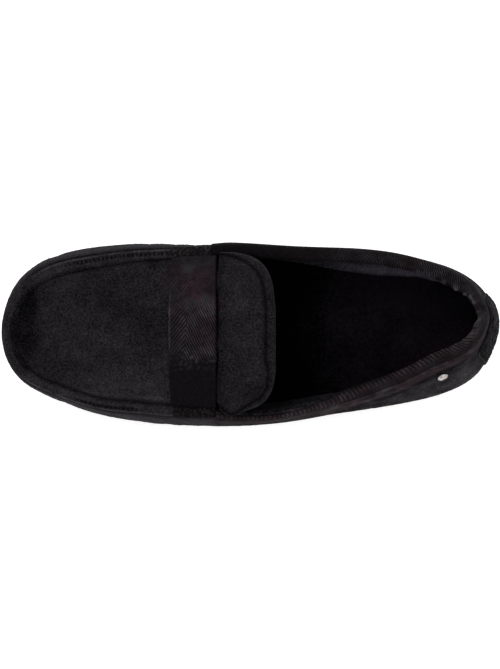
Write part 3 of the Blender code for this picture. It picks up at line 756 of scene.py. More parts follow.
edge_run = section_run - section_run[:, 6 + 17 + 12][:, None]  # from the middle of the roll, in along the section
uneven = lattice_noise(wall, 9.0, 41)
row_in, row_shows = (v[:, None] for v in stitch_row(wall_t))
toe_end = (1 - smooth(plan(wall_t)[0][:, 0], -138.0, -126.0))[:, None]
wall_at = plan(wall_t)[0]
lip_fades = (np.maximum(0.85 * toe_end[:, 0], 0.2 * (wall_at[:, 1] < 0) * smooth(wall_at[:, 0], -68.0, -50.0)))[:, None]
on_outer = smooth(-wall_at[:, 1], 0.0, 25.0)[:, None]
lip_run = edge_run + 1.1 * on_outer
lip_edge = (0.5 * bump(lip_run, 0.35, 0.8) - 0.75 * (1 - 0.5 * on_outer) * (0.6 + 0.8 * uneven) * bump(lip_run, -1.5, 0.6)) * (1 - lip_fades)
relief = (seam_relief(m_in, wall_seam[:, None], row_in, row_shows) * smooth(height_share, 0.8, 0.95) + lip_edge) * fore_share[:, None]

# soft creases in the wall: x, height, half length, half width, depth, slant (deg), side
CREASES = (
    (-44.0, 36.0, 15.0, 3.4, 0.9, 62.0, 1),
    (-35.0, 32.0, 13.0, 3.0, 0.7, 70.0, 1),
    (-58.0, 34.0, 12.0, 3.2, 0.6, 55.0, 1),
    (-40.0, 35.0, 15.0, 3.4, 0.9, 116.0, -1),
    (-52.0, 33.0, 13.0, 3.2, 0.7, 122.0, -1),
    (-28.0, 30.0, 11.0, 3.0, 0.6, 108.0, -1),
    (62.0, 34.0, 20.0, 4.0, 0.8, 8.0, 1),
    (66.0, 33.0, 22.0, 4.0, 0.9, 172.0, -1),
    (100.0, 38.0, 17.0, 3.6, 0.9, 12.0, -1),
    (104.0, 30.0, 15.0, 3.2, 0.6, 8.0, -1),
    (112.0, 40.0, 13.0, 3.2, 0.6, 172.0, 1),
    (-112.0, 34.0, 12.0, 3.6, 0.5, 80.0, 1),
    (-108.0, 33.0, 12.0, 3.6, 0.5, 100.0, -1),
)


def creases(points, rows):
    depth = np.zeros(points.shape[:-1])
    for x, z, half, wide, deep, slant, side in rows:
        a = math.radians(slant)
        dx, dz = points[..., 0] - x, points[..., 2] - z
        run = dx * math.cos(a) + dz * math.sin(a)
        off = -dx * math.sin(a) + dz * math.cos(a) + 0.9 * np.sin(run / half * 2.0)
        on = np.exp(-((run / half) ** 4)) * (points[..., 1] * side > 0)
        depth += deep * on * (-np.exp(-((off / wide) ** 2)) + 0.45 * np.exp(-(((off - 2.0 * wide) / (1.4 * wide)) ** 2)))
    return depth


soft = creases(wall, CREASES) * smooth(height_share, 0.12, 0.3) * (1 - smooth(height_share, 0.8, 0.95))
pillow = 0.35 * np.sin(wall[..., 0] / 17.0 + 1.3) * np.sin(wall[..., 2] / 9.0) * smooth(height_share, 0.1, 0.3) * (1 - smooth(height_share, 0.75, 0.95))
nubs = (lattice_noise(wall, 1.6, 42) - 0.5) * 0.22 * smooth(height_share, 0.05, 0.2)
wall = wall + n_out * (relief + soft + pillow + nubs)[..., None]
seam_beat = (0.5 + 0.5 * np.cos(2 * math.pi * wall_seam[:, None] / STITCH)) ** 1.5
on_top = fore_share[:, None] * smooth(height_share, 0.85, 0.97)
# painted highlight along the roll's outer fold edge, painted shade in the fold line under it and on the wall just
# below, and painted light from the bright floor on the wall's side further down
lip_highlight_and_shade = 0.8 * (0.35 + 0.2 * on_outer + uneven) * bump(lip_run, 0.3, 0.6) - 0.24 * (1 - 0.4 * on_outer) * bump(lip_run, -1.5, 0.6) - 0.2 * bump(lip_run, -4.0, 3.0)
lip_highlight_and_shade = lip_highlight_and_shade - 0.5 * on_outer * (1 - smooth(wall_at[:, 0], -86.0, -68.0))[:, None] * bump(lip_run, -3.0, 2.0)
edge_light_and_shade = (lip_highlight_and_shade * (1 - lip_fades) + 0.38 * (1 - smooth(edge_run, -12.0, -5.0)) * smooth(height_share, 0.1, 0.4)) * fore_share[:, None]
# painted shade in the groove between the roll and the plug, and in the pleat dents at each stitch
groove_and_stitch_shade = -(0.05 + 0.35 * uneven) * bump(m_in, lip[:, None], 1.2) * on_top * (1 - 0.7 * toe_end) - (0.5 * seam_beat - 0.16) * stitch_depth[np.rint(wall_seam / STITCH).astype(int)][:, None] * row_shows * bump(m_in, row_in, 1.1 - 0.35 * on_outer) * on_top
# painted light on the raised inner part of the roll, painted shade in the toe valley and along the sunken stitch row on
# the outer side
ridge_light_and_shade = (0.2 * bump(m_in, row_in + 2.0, 1.6) + 0.12 * (1 - row_shows) * bump(m_in, row_in, 1.6)) * on_top * (1 - toe_end) - 0.45 * toe_end * smooth(m_in, 3.4, 5.2) * on_top
ridge_light_and_shade = ridge_light_and_shade - 0.34 * on_outer * row_shows * bump(m_in, row_in, 0.9) * on_top
low_dark = -0.2 * (1 - smooth(height_share, 0.0, 0.28))
# painted shade in the crease troughs and painted light on their ridges
crease_light_and_shade = np.clip(soft, -1, 1) * 0.3
streaks = lattice_noise(wall * np.array([0.6, 0.6, 0.35]), 2.4, 47) + lattice_noise(wall, 5.0, 48) - 1.0
# streaks in the nap, plus painted light on the outer side of the heel
mottle_and_heel_light = streaks * (0.16 + 0.46 * (1 - fore_share[:, None])) + 0.2 * (smooth(wall[..., 0], 112.0, 134.0) * (wall[..., 1] < 0))
under_bind = -edge_run - along(BINDING_LAT, wall_at[:, 0])[:, None]
by_flap = (smooth(wall_at[:, 0], 62.0, 84.0) * (1 - smooth(wall_at[:, 0], 128.0, 136.0)) * (wall_at[:, 1] < 0))[:, None]
# painted shadow on the wall just under the binding's lower edge, and painted light further down towards the outline
flap_shadow_and_light = by_flap * (0.32 * smooth(under_bind, 4.0, 11.0) - 0.75 * (0.5 + uneven) * bump(under_bind, 1.9, 1.7))
wall_tone = edge_light_and_shade + groove_and_stitch_shade + ridge_light_and_shade + low_dark + crease_light_and_shade + mottle_and_heel_light + flap_shadow_and_light
# the flesh side of the suede closes the wall into a skin of its own thickness
flesh_rows = [54, 46, 38, 31, 25, 20, 15, 10, 6, 3, 1]
flesh = wall[:, flesh_rows] - n_out[:, flesh_rows] * SUEDE_THICK
skin = np.concatenate([wall, flesh], 1)
skin_tone = np.concatenate([wall_tone, np.full(flesh.shape[:2], -0.2)], 1)
upper_wall = mesh_object("upper_wall", skin, grid_faces(len(skin), skin.shape[1], wrap_u=True, wrap_v=True, flip=True), SUEDE, {"tone": skin_tone.reshape(-1)}, closed=True)
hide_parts("upper")

# ---------------------------------------------------------------- plug
NS, NT = 121, 131
s_line = 0.5 - 0.5 * np.cos(np.linspace(0, math.pi, NS)) * (0.35) - 0.65 * (0.5 - np.linspace(0, 1, NS))
s_line = (s_line - s_line[0]) / (s_line[-1] - s_line[0])
t_line = np.linspace(0, 1, NT) ** 1.15
plug_base = plug(s_line, t_line)
# signed distance in from the plug's edge, roughly, in mm
width = np.linalg.norm(plug_base[:, -1] - plug_base[:, 0], axis=-1)
from_side = np.minimum(s_line[None], 1 - s_line[None]) * width[:, None]
from_toe = run_length(plug_base, 0)
plug_in = np.minimum(from_side, from_toe)
# hollows and swells: x, y, half length, half width, height
SWELLS = (
    (-131.0, 7.0, 8.5, 21.0, -3.3),
    (-118.0, 4.0, 9.0, 26.0, 0.6),
    (-96.0, 16.0, 14.0, 12.0, 0.5),
    (-88.0, -14.0, 16.0, 14.0, 0.5),
    (-74.0, 8.0, 9.0, 20.0, -0.55),
    (-62.0, -20.0, 8.0, 18.0, -0.35),
    (-60.0, 18.0, 10.0, 12.0, 0.35),
)
rise = np.zeros(plug_base.shape[:2])
for x, y, half_l, half_w, h in SWELLS:
    rise += h * np.exp(-(((plug_base[..., 0] - x) / half_l) ** 2) - (((plug_base[..., 1] - y) / half_w) ** 2))
rise *= smooth(plug_in, 0.0, 3.0)
valley = np.exp(-(((plug_base[..., 0] + 131.0) / 8.0) ** 4) - (((plug_base[..., 1] - 7.0) / 20.0) ** 4))
rise += 0.3 * bump(plug_in, 3.4, 2.0) - 1.2 * (1 - 0.7 * valley) * bump(plug_in, 0.0, 1.3)
plug_top = plug_base.copy()
plug_top[..., 2] += rise + (lattice_noise(plug_base, 2.0, 44) - 0.5) * 0.2
# the very edge tucks under the seam roll
rim = 1 - smooth(plug_in, 0.0, 0.6)
out_xy = plug_base[..., :2] - plug_base[NT // 2, NS // 2, :2]
out_xy = out_xy / np.maximum(np.linalg.norm(out_xy, axis=-1, keepdims=True), 1e-9)
plug_top[..., :2] += out_xy * (rim * 0.5 * (plug_base[..., 0] < -30))[..., None]
plug_uneven = lattice_noise(plug_base, 7.0, 43)
plug_outer = smooth(-plug_base[..., 1], 18.0, 26.0) * smooth(plug_base[..., 0], -104.0, -90.0)
# painted shade along the plug's edge where it tucks under the roll, a painted highlight just inside the edge on the
# outer side, and painted shade in the toe valley; the smudges below are the nap's own
plug_nap_light_and_shade = -(0.08 + 0.4 * plug_uneven) * bump(plug_in, 0.4, 1.5) * (1 - 0.8 * valley) * (1 - 0.7 * plug_outer) - 0.03
plug_nap_light_and_shade = plug_nap_light_and_shade + plug_outer * (0.3 * bump(plug_in, 2.8, 1.5) - 0.14 * bump(plug_in, 0.2, 0.7))
plug_nap_light_and_shade = plug_nap_light_and_shade - valley * (0.54 - 0.14 * bump(plug_base[..., 1], 3.5, 5.0))
# smudges where the nap lies the other way: x, y, half length, half width, tone
SMUDGES = (
    (-72.0, 10.0, 15.0, 9.0, -0.22),
    (-58.0, 2.0, 10.0, 16.0, -0.17),
    (-66.0, 30.0, 16.0, 8.0, -0.15),
    (-107.0, 26.0, 14.0, 8.0, 0.10),
    (-123.0, 14.0, 10.0, 12.0, -0.12),
    (-125.0, -14.0, 9.0, 12.0, -0.12),
    (-88.0, 22.0, 13.0, 16.0, -0.14),
    (-102.0, -22.0, 12.0, 8.0, -0.10),
    (-90.0, -9.0, 14.0, 7.0, 0.10),
    (-69.0, -31.0, 22.0, 9.0, 0.30),
    (-53.0, -36.0, 8.0, 7.0, 0.16),
    (-59.0, 14.0, 8.0, 7.0, 0.20),
    (-51.0, 39.0, 8.0, 6.0, -0.15),
)
for x, y, half_l, half_w, tone in SMUDGES:
    plug_nap_light_and_shade = plug_nap_light_and_shade + tone * np.exp(-(((plug_base[..., 0] - x) / half_l) ** 2) - (((plug_base[..., 1] - y) / half_w) ** 2))
plug_n = -normals(plug_base)
dip = np.array([0.0, 0.0, 1.0]) * (np.minimum(rise, 0.0) * smooth(plug_in, 1.5, 4.0))[..., None]
points, faces = slab(plug_top, plug_base - plug_n * SUEDE_THICK + dip, flip=True)
plug_piece = mesh_object("plug", points, faces, SUEDE, {"tone": np.concatenate([plug_nap_light_and_shade.reshape(-1)] * 2)}, closed=True)

# ---------------------------------------------------------------- stitches across the apron seam
stitches = Joined()
t_stitch = np.interp((np.arange(STITCHES) + 0.0) * SEAM_LENGTH / STITCHES, seam_run, fine_t)
tuck, lip, zf, zb, corner, e1, e2 = top_frame(t_stitch)
start = corner - ROLL * e1
end_f = corner + ROLL * unit(np.stack([-lip, np.full_like(lip, -GROOVE_DROP)], -1))
u = np.linspace(0, 1, 60)[None, :, None]
arc = start[:, None] * (1 - u) ** 2 + corner[:, None] * 2 * u * (1 - u) + end_f[:, None] * u * u
tail = end_f[:, None] + (unit(np.stack([-lip, np.full_like(lip, -GROOVE_DROP)], -1)))[:, None] * np.linspace(0.05, 2.0, 20)[None, :, None]
arc = np.concatenate([arc, tail], 1)
rows_at, shown = stitch_row(t_stitch)
for k in range(STITCHES):
    m = -(arc[k, :, 0] - corner[k, 0])
    long_, turn_, thick_ = rng.uniform(0.95, 1.3), rng.uniform(-0.2, 0.7), rng.uniform(0.3, 0.42)
    long_ *= 1.0 - 0.35 * (STITCH_IN - rows_at[k]) / 1.1
    want = np.linspace(rows_at[k] - long_, rows_at[k] + long_, 9)
    z = np.interp(want, m, arc[k, :, 1]) + seam_relief(want, k * STITCH, rows_at[k], shown[k])
    lift = 0.1 + 0.35 * stitch_depth[k] - 0.9 * (1 - shown[k]) - 0.8 * np.abs(np.linspace(-1, 1, 9)) ** 3
    path2 = np.stack([corner[k, 0] - want, z + lift], -1)
    p = place(t_stitch[k : k + 1], path2[None])[0]
    point, out = plan(t_stitch[k : k + 1])
    tangent = np.array([out[0, 1], -out[0, 0], 0.0])
    p = p + tangent * (np.linspace(-0.5, 0.5, 9)[:, None] * turn_)
    pts, faces = tube(p, np.tile([0, 0, 1.0], (9, 1)), thick_, 7)
    if p[4, 0] < (-46.0 if p[4, 1] > 0 else -45.0):
        stitches.add(pts, faces)
seam_stitches = stitches.make("seam_stitches", THREAD)

# ---------------------------------------------------------------- instep band
s_band = np.linspace(0.006, 0.994, 241)
dense_t = np.linspace(0.55, 1.0, 160)
dense = plug(s_band, dense_t)
slope = (dense[-1] - dense[-8]) / (dense[-1, :, :1] - dense[-8, :, :1])
front_x = BAND_FRONT_X - 0.3 + 1.3 * (2 * s_band - 1) ** 2
share = np.linspace(0.0, 1.0, 70)[:, None]
rear_x = BAND_REAR_X + 0.45 * (lattice_noise(np.column_stack([dense[-1, :, 1], 0 * s_band, 0 * s_band]), 8.0, 51) - 0.5)
want_x = front_x[None] * (1 - share) + rear_x[None] * share
band_base = np.empty(want_x.shape + (3,))
band_base[..., 0] = want_x
for k in range(len(s_band)):
    for c in (1, 2):
        on = np.interp(want_x[:, k], dense[:, k, 0], dense[:, k, c])
        past = dense[-1, k, c] + slope[k, c] * (want_x[:, k] - dense[-1, k, 0])
        band_base[:, k, c] = np.where(want_x[:, k] <= dense[-1, k, 0], on, past)
band_n = -normals(band_base)
run_x = run_length(band_base, 0)
run_s = run_length(band_base, 1)
whole_x = run_x[-1][None]
edge = np.minimum(run_x, whole_x - run_x)
round_edge = np.sqrt(np.clip(1 - (1 - np.clip(edge / 0.9, 0, 1)) ** 2, 0, 1))
centre_x = run_x - whole_x / 2
band_y = band_base[..., 1]
from_spine = centre_x + 2.4 - RIB_LEAN * (band_y - 7.0)
# the ribs behind the spine are steeper and further apart than those in front of it
across_rib = from_spine * np.where(from_spine > 0, 1.42, 0.88)
along_rib = run_s * np.where(from_spine > 0, 1.06, 0.9)
ribs = 0.08 * np.sin((along_rib + RIB_SLOPE * (STRIPE - np.abs(across_rib))) * 2 * math.pi / RIB)
hem = -0.25 * bump(edge, 2.6, 0.5) + 0.1 * bump(edge, 1.3, 0.8)
end_dip = -0.6 * (1 - smooth(np.minimum(run_s, run_s[:, -1:] - run_s), 0.0, 2.5))
thick = GAP + BAND_THICK * round_edge + (ribs * smooth(edge, 0.5, 1.5)) + hem + end_dip
band_top = band_base + band_n * thick[..., None]
band_under = band_base + band_n * 0.15
ragged = 8.0 * (lattice_noise(band_base, 4.0, 49) - 0.5)
in_front = 1 - smooth(from_spine, -1.0, 2.0)
ribs_end = -21.5 + 0.5 * in_front
strength = 0.6 * smooth(band_y + 0.5 * ragged, ribs_end, ribs_end + 8.0 + 6.0 * in_front) * (1 - smooth(band_y + ragged, 7.0, 16.0))
strength = strength + 0.16 * smooth(band_y, -6.0, 8.0) * (1 - smooth(band_y, 27.0, 34.0)) + 0.22 * in_front * smooth(band_y + ragged, 16.0, 24.0) * (1 - smooth(band_y + ragged, 27.0, 34.0))
plain = 0.07 + 0.2 * smooth(band_y, 3.0, 15.0) - 0.07 * smooth(-band_y, 11.0, 18.0)
specks = smooth(lattice_noise(band_base, 1.05, 56), 0.45, 0.8)
plain = plain + 0.4 * specks * smooth(band_y + 0.6 * ragged, -26.0, -18.0) * (1 - smooth(band_y, -17.0, -11.0))
front_dim = 1 - 0.38 * (1 - smooth(run_x, 3.0, 11.0))
strength, plain = strength * front_dim, plain * front_dim
tint = -0.06 + 0.09 * smooth(centre_x, -3.0, 4.0) * smooth(band_y, -20.0, -8.0) + 0.03 * smooth(band_y, 10.0, 20.0) - 0.3 * smooth(band_y, 36.0, 42.0)
# painted highlight along the band's folded front edge: a pale line with the ribs taken out
folded_edge_highlight = bump(run_x, 0.95, 0.42) * smooth(band_y, -14.0, -8.0) * (1 - smooth(band_y, 14.0, 24.0))
tint = tint - 0.5 * folded_edge_highlight
strength, plain = strength * (1 - folded_edge_highlight), plain + folded_edge_highlight * (0.25 + 0.6 * lattice_noise(band_base, 1.4, 45))
# painted shade along the band's rear edge, in the gap before the tongue
gap_shade = 1 - (0.35 + 0.5 * lattice_noise(np.stack([band_y, 0 * band_y, 0 * band_y], -1), 9.0, 57)) * bump(whole_x - run_x, 0.3, 0.6)
weave = np.stack([across_rib + STRIPE, along_rib, strength * gap_shade], -1)
looks = {"weave": np.concatenate([weave.reshape(-1, 3), weave.reshape(-1, 3) * [1, 1, 0.1]]), "plain": np.concatenate([(plain * gap_shade).reshape(-1), 0 * plain.reshape(-1)]), "tint": np.concatenate([tint.reshape(-1)] * 2)}
points, faces = slab(band_top, band_under)
band = mesh_object("instep_band", points, faces, CLOTH, looks, closed=True)
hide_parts("band")


# the band's cloth goes on over the seam roll as a tab at each side
def seam_tab(name, x_from, x_to, side, material):
    ts = np.linspace(T_THROAT_MED - 40.0, T_FRONT_MED + 2.0, 300) if side > 0 else np.linspace(T_FRONT_LAT - 2.0, T_THROAT_LAT + 40.0, 300)
    xs = place(ts, top_frame(ts)[4][:, None])[:, 0, 0]
    order = np.argsort(xs)
    t = np.interp(np.linspace(x_from, x_to, 61), xs[order], ts[order])
    tuck, lip, zf, zb, corner, e1, e2 = top_frame(t)
    inward = np.stack([-lip, np.full_like(lip, -GROOVE_DROP)], -1)
    end = corner + ROLL * unit(inward)
    start = corner - ROLL * e1
    u = np.linspace(0.3, 1, 30)[None, :, None]
    path = start[:, None] * (1 - u) ** 2 + corner[:, None] * 2 * u * (1 - u) + end[:, None] * u * u
    more = end[:, None] + (corner + inward - end)[:, None] * np.linspace(0, 1, 9)[None, 1:, None]
    base = place(t, np.concatenate([path, more], 1))
    n = normals(base)
    n = n * np.sign(n[30, 20, 2])
    run = run_length(base, 0)
    rise = run_length(base, 1)
    edge = np.minimum(np.minimum(run, run[-1][None] - run), np.minimum(rise, rise[:, -1:] - rise))
    knots_ = lattice_noise(base, 1.5, 11) + 0.6 * lattice_noise(base, 0.8, 12) - 0.8
    thick = 0.25 + (0.85 if side > 0 else 1.25) * np.sqrt(np.clip(1 - (1 - np.clip(edge / 1.1, 0, 1)) ** 2, 0, 1)) + 0.45 * knots_ * smooth(edge, 0.2, 1.0)
    top, under = base + n * thick[..., None], base + n * 0.1
    points, faces = slab(top, under, flip=True)
    tab = mesh_object(name, points, faces, material, {}, closed=True)
    return tab


tabs = [seam_tab("band_tab_inner", -45.6, -22.0, 1, BOUCLE), seam_tab("band_tab_outer", -44.6, -19.6, -1, BOUCLE_SHADED)]

# ---------------------------------------------------------------- tongue
rows = np.array(TONGUE)


def tongue_row(u):
    return [along(list(zip(range(len(rows)), rows[:, c])), u) for c in range(6)]


def tongue_height(x, y):
    """The tongue's plain top face at a place in plan."""
    us = np.linspace(0, len(rows) - 1, 400)
    u = np.interp(x, along(list(zip(range(len(rows)), rows[:, 0])), us), us)
    _, ym, yl, zm, zl, zc = tongue_row(u)
    share = np.clip((y - ym) / (yl - ym), 0, 1)
    b = 2 * share - 1
    e = zm * (1 - share) + zl * share
    return e + (zc - e) * (1 - np.abs(b) ** 2.2)


NU, NW = 141, 151
x_, ym, yl, zm, zl, zc = [v[:, None] for v in tongue_row(np.linspace(0, len(rows) - 1, NU))]
b = -np.cos(np.linspace(0, math.pi, NW))[None]
share = (1 + b) / 2
edge_z = zm * (1 - share) + zl * share
tongue_base = np.stack([x_ + 0 * share, ym * (1 - share) + yl * share, edge_z + (zc - edge_z) * (1 - np.abs(b) ** 2.2)], -1)
tongue_n = -normals(tongue_base)
back = tongue_base[:, 0, 0] > -17.4
outline = np.concatenate([tongue_base[back, 0], tongue_base[-1, 1:-1], tongue_base[back, -1][::-1]])[:, :2]
outline = np.concatenate([outline[:1] - [25.0, 0.0], outline, outline[-1:] - [25.0, 0.0]])


def plan_distance(points, line):
    """Distance in plan from points to a polyline."""
    p = points.reshape(-1, 1, 2)
    a, d = line[:-1][None], np.diff(line, axis=0)[None]
    best = []
    for chunk in np.array_split(np.arange(len(p)), max(1, len(p) // 4000)):
        q = p[chunk]
        s = np.clip(((q - a) * d).sum(-1) / np.maximum((d * d).sum(-1), 1e-9), 0, 1)
        best.append(np.linalg.norm(q - a - d * s[..., None], axis=-1).min(1))
    return np.concatenate(best).reshape(points.shape[:-1])


RIM = 2.3


def topstitch(x, y):
    """How far in from the edge the tongue's topstitch runs: it nears the edge at the front."""
    return 1.6 + 4.0 * smooth(x, -17.0, 4.0) - 2.2 * smooth(-y, 14.0, 34.0) * smooth(x, -17.0, -6.0)


tongue_in = plan_distance(tongue_base[..., :2], outline)
drop = np.clip(RIM - tongue_in, 0, RIM)
shape = -(RIM - np.sqrt(np.maximum(RIM * RIM - drop * drop, 0.0))) * 0.7
sewn = topstitch(tongue_base[..., 0], tongue_base[..., 1])
puff = 0.5 * bump(tongue_in, 0.55 * sewn, 0.3 * sewn) - 0.95 * bump(tongue_in, sewn, 0.75) + 0.75 * smooth(tongue_in, sewn + 0.4, sewn + 5.0)
puff = puff + (lattice_noise(tongue_base, 1.8, 46) - 0.5) * 0.25
# soft waves along the tongue: x, y, half length, half width, height
TONGUE_WAVES = (
    (-4.0, 16.0, 9.0, 10.0, 0.45),
    (-2.0, -18.0, 10.0, 11.0, 0.5),
    (2.0, 0.0, 9.0, 8.0, -0.35),
    (-10.0, 32.0, 7.0, 7.0, -0.4),
    (-8.0, -34.0, 7.0, 7.0, -0.4),
)
wave = sum(h * np.exp(-(((tongue_base[..., 0] - x) / a) ** 2) - (((tongue_base[..., 1] - y) / c) ** 2)) for x, y, a, c, h in TONGUE_WAVES)
fade = smooth(tongue_base[..., 0], -22.0, -15.0)
rim_share = smooth(tongue_in, 1.0, 7.0)[..., None]
tongue_n = unit(tongue_n * rim_share + np.array([0.0, 0.0, 1.0]) * (1 - rim_share))
gap_at = np.stack([tongue_base[..., 1], 0 * x_ + 0 * share, 0 * x_ + 0 * share], -1)
gap_wave = smooth(0.65 * lattice_noise(gap_at, 9.0, 52) + 0.35 * lattice_noise(gap_at, 3.2, 58), 0.25, 0.7)
gap_dip = (0.35 - 1.2 * gap_wave) * bump(tongue_base[..., 0], -18.8, 1.0)
tongue_top = tongue_base + tongue_n * (shape + (puff + wave) * fade - 0.2 * (1 - fade) + gap_dip)[..., None]
tongue_under = tongue_base + tongue_n * (-TONGUE_THICK - 2.0 * shape * (TONGUE_THICK / 2 - 0.7) / 1.6)[..., None]
# painted shade in the topstitch groove, a painted highlight along the inner edge, and painted shade in the gap behind
# the band and on the tongue's front rising from it
tongue_nap_light_and_shade = -0.05 * bump(tongue_in, 1.8, 2.0) - 0.36 * bump(tongue_in, sewn, 1.1) + 0.35 * bump(tongue_in, 0.4, 0.5) * smooth(tongue_base[..., 1], 20.0, 40.0)
tongue_nap_light_and_shade = tongue_nap_light_and_shade - (0.08 + 0.6 * gap_wave) * bump(tongue_base[..., 0], -18.9, 1.0) - 0.22 * bump(tongue_base[..., 0], -17.0, 3.5) - 0.03
# smudges on the tongue: x, y, half length, half width, tone
for x, y, half_l, half_w, tone in ((-8.0, 12.0, 5.0, 7.0, 0.22), (-10.0, -24.0, 6.0, 12.0, -0.10), (1.0, -36.0, 9.0, 5.0, -0.22), (10.0, 6.0, 4.0, 24.0, -0.10)):
    tongue_nap_light_and_shade = tongue_nap_light_and_shade + tone * np.exp(-(((tongue_base[..., 0] - x) / half_l) ** 2) - (((tongue_base[..., 1] - y) / half_w) ** 2))
points, faces = slab(tongue_top, tongue_under)
tongue = mesh_object("tongue_pad", points, faces, SUEDE, {"tone": np.concatenate([tongue_nap_light_and_shade.reshape(-1)] * 2)}, closed=True)
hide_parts("tongue")

# topstitch round the tongue's rim
line = np.concatenate([tongue_base[NU // 4 :, 0], tongue_base[-1, 1:-1], tongue_base[NU // 4 :, -1][::-1]])[:, :2]
run = run_length(line)
line = np.stack([np.interp(np.linspace(0, run[-1], 600), run, line[:, c]) for c in (0, 1)], -1)
for _ in range(30):
    line[1:-1] = 0.25 * line[:-2] + 0.5 * line[1:-1] + 0.25 * line[2:]
way = unit(np.gradient(line, axis=0))
reach = topstitch(line[:, 0], line[:, 1])
inner_line = line + np.stack([way[:, 1], -way[:, 0]], -1) * reach[:, None]
keep = plan_distance(inner_line, line) > reach - 0.3
inner_line = inner_line[keep & (line[:, 0] > -16.0)]
run = run_length(inner_line)
topstitches = Joined()
for k in range(int(run[-1] / 3.0)):
    at = np.linspace(k * 3.0 + 0.3, k * 3.0 + 2.6, 9)
    xy = np.stack([np.interp(at, run, inner_line[:, c]) for c in (0, 1)], -1)
    z = tongue_height(xy[:, 0], xy[:, 1]) - 0.55 - 0.5 * np.abs(np.linspace(-1, 1, 9)) ** 4
    pts, f = tube(np.column_stack([xy, z]), np.tile([0, 0, 1.0], (9, 1)), 0.26, 7)
    topstitches.add(pts, f)
tongue_stitches = topstitches.make("tongue_stitches", THREAD_WORN)

# ---------------------------------------------------------------- collar binding
bind_t = np.linspace(T_FRONT_MED - 0.6, T_FRONT_LAT + 1.2, 701)
tuck, lip, zf, zb, corner, e1, e2 = top_frame(bind_t)
curve = wall_curve(bind_t, np.linspace(0, 1, 48), np.full(len(bind_t), COLLAR_ROUND))
curve_run = run_length(curve, 1)
# on the outer side it comes further down the wall towards the front
bind_x, bind_y = plan(bind_t)[0].T
comes_down = np.where(bind_y < 0, along(BINDING_LAT, bind_x), BINDING_OUT)
downs = np.linspace(1.0, 0.0, 26)
outside = np.empty((len(bind_t), len(downs), 2))
for k in range(len(bind_t)):
    want = curve_run[k, -1] + COLLAR_ROUND - (COLLAR_ROUND + 0.2 + (comes_down[k] - COLLAR_ROUND - 0.2) * downs)
    outside[k] = np.stack([np.interp(want, curve_run[k], curve[k, :, c]) for c in (0, 1)], -1)
u = np.linspace(0, 1, 10)[None, :, None]
start = corner - COLLAR_ROUND * e1
padding = COLLAR_WALL - 2.1 * np.exp(-(((bind_t - knots[13] - 5.0) / 24.0) ** 4))  # it thins round the inner back of the heel
end = corner + np.minimum(0.95 * COLLAR_ROUND, 0.48 * padding)[:, None] * e2
over_top = start[:, None] * (1 - u) ** 2 + corner[:, None] * 2 * u * (1 - u) + end[:, None] * u * u
rel = over_top[:, ::-1] - corner[:, None]
rel_e1, rel_e2 = (rel * e1[:, None]).sum(-1), (rel * e2[:, None]).sum(-1)
back_down = corner[:, None] + (padding[:, None] - rel_e2)[..., None] * e2[:, None] + rel_e1[..., None] * e1[:, None]
inside = corner[:, None] + (padding[:, None, None] + 0.1) * e2[:, None] - np.linspace(COLLAR_ROUND + 0.6, BINDING_IN, 12)[None, :, None] * e1[:, None]
path = np.concatenate([outside, over_top, back_down, inside], 1)
# towards the front of the outer side its inner edge comes up to the top, and the lining shows
stops_short = np.where(bind_y < 0, along(((-25.0, 10.6), (14.0, 11.2), (36.0, 10.6), (50.0, 8.8), (66.0, 4.4), (80.0, 0.5), (95.0, 0.0), (150.0, 0.0)), bind_x), 0.0)
path_run = run_length(path, 1)
fold_at = path_run[:, len(downs) + 2][:, None]
inner_edge = path_run[:, len(downs) + 18][:, None] - fold_at
at_run = np.linspace(0.0, 1.0, 56)[None] * (path_run[:, -1] - stops_short)[:, None]
path = np.stack([np.stack([np.interp(at_run[k], path_run[k], path[k, :, c]) for c in (0, 1)], -1) for k in range(len(bind_t))])
way = unit(np.gradient(path, axis=1))
left = np.stack([way[..., 1], -way[..., 0]], -1)
along_path = at_run
rel_path = along_path - fold_at
whole_path = along_path[:, -1:]
bind_run = run_length(place(bind_t, corner[:, None])[:, 0])
edge = np.minimum(along_path, whole_path - along_path)
# the ribs lie closer on the inner side
by_inner = smooth(bind_y, -10.0, 25.0)
rib_run = np.concatenate([[0.0], np.cumsum(np.diff(bind_run) * (1.0 + 0.56 * by_inner[1:]))])
rib_across = rel_path * (0.7 + 0.9 * by_inner)[:, None]
beat = np.sin(2 * math.pi * (rib_run[:, None] - BIND_SLOPE * np.abs(rib_across)) / BIND_RIB)
high = GAP + BINDING_THICK * np.sqrt(np.clip(1 - (1 - np.clip(edge / 1.0, 0, 1)) ** 2, 0, 1))
high = high + 0.45 * bump(rel_path, -4.6, 3.0) - 0.55 * bump(rel_path, -0.4, 0.55) + 0.5 * bump(rel_path, 3.4, 2.2) - 0.35 * bump(along_path, 1.9, 0.45)
high = high + 0.08 * beat * bump(rel_path, 2.4, 3.2)
# its inner edge is ragged round the heel
inner_line = smooth(bind_x, 88.0, 112.0)[:, None] * np.where(bind_y > -12.0, 1.0, 0.35)[:, None]
ragged_at = np.stack([np.broadcast_to(bind_run[:, None], rel_path.shape), rel_path, 0 * rel_path], -1)
ragged_edge = lattice_noise(ragged_at, 2.2, 59)
high = high + 1.6 * (ragged_edge - 0.45) * inner_line * bump(rel_path, inner_edge - 0.3, 1.3)
# at the inner back of the heel it is fuller before the corner and thinner at it
fuller = 1.2 * bump(bind_t, knots[12] - 8.0, 14.0) - 0.8 * bump(bind_t, knots[13] + 1.0, 8.0)
high = high + fuller[:, None] * smooth(rel_path, 1.5, 4.5) * smooth(edge, 0.0, 2.0)
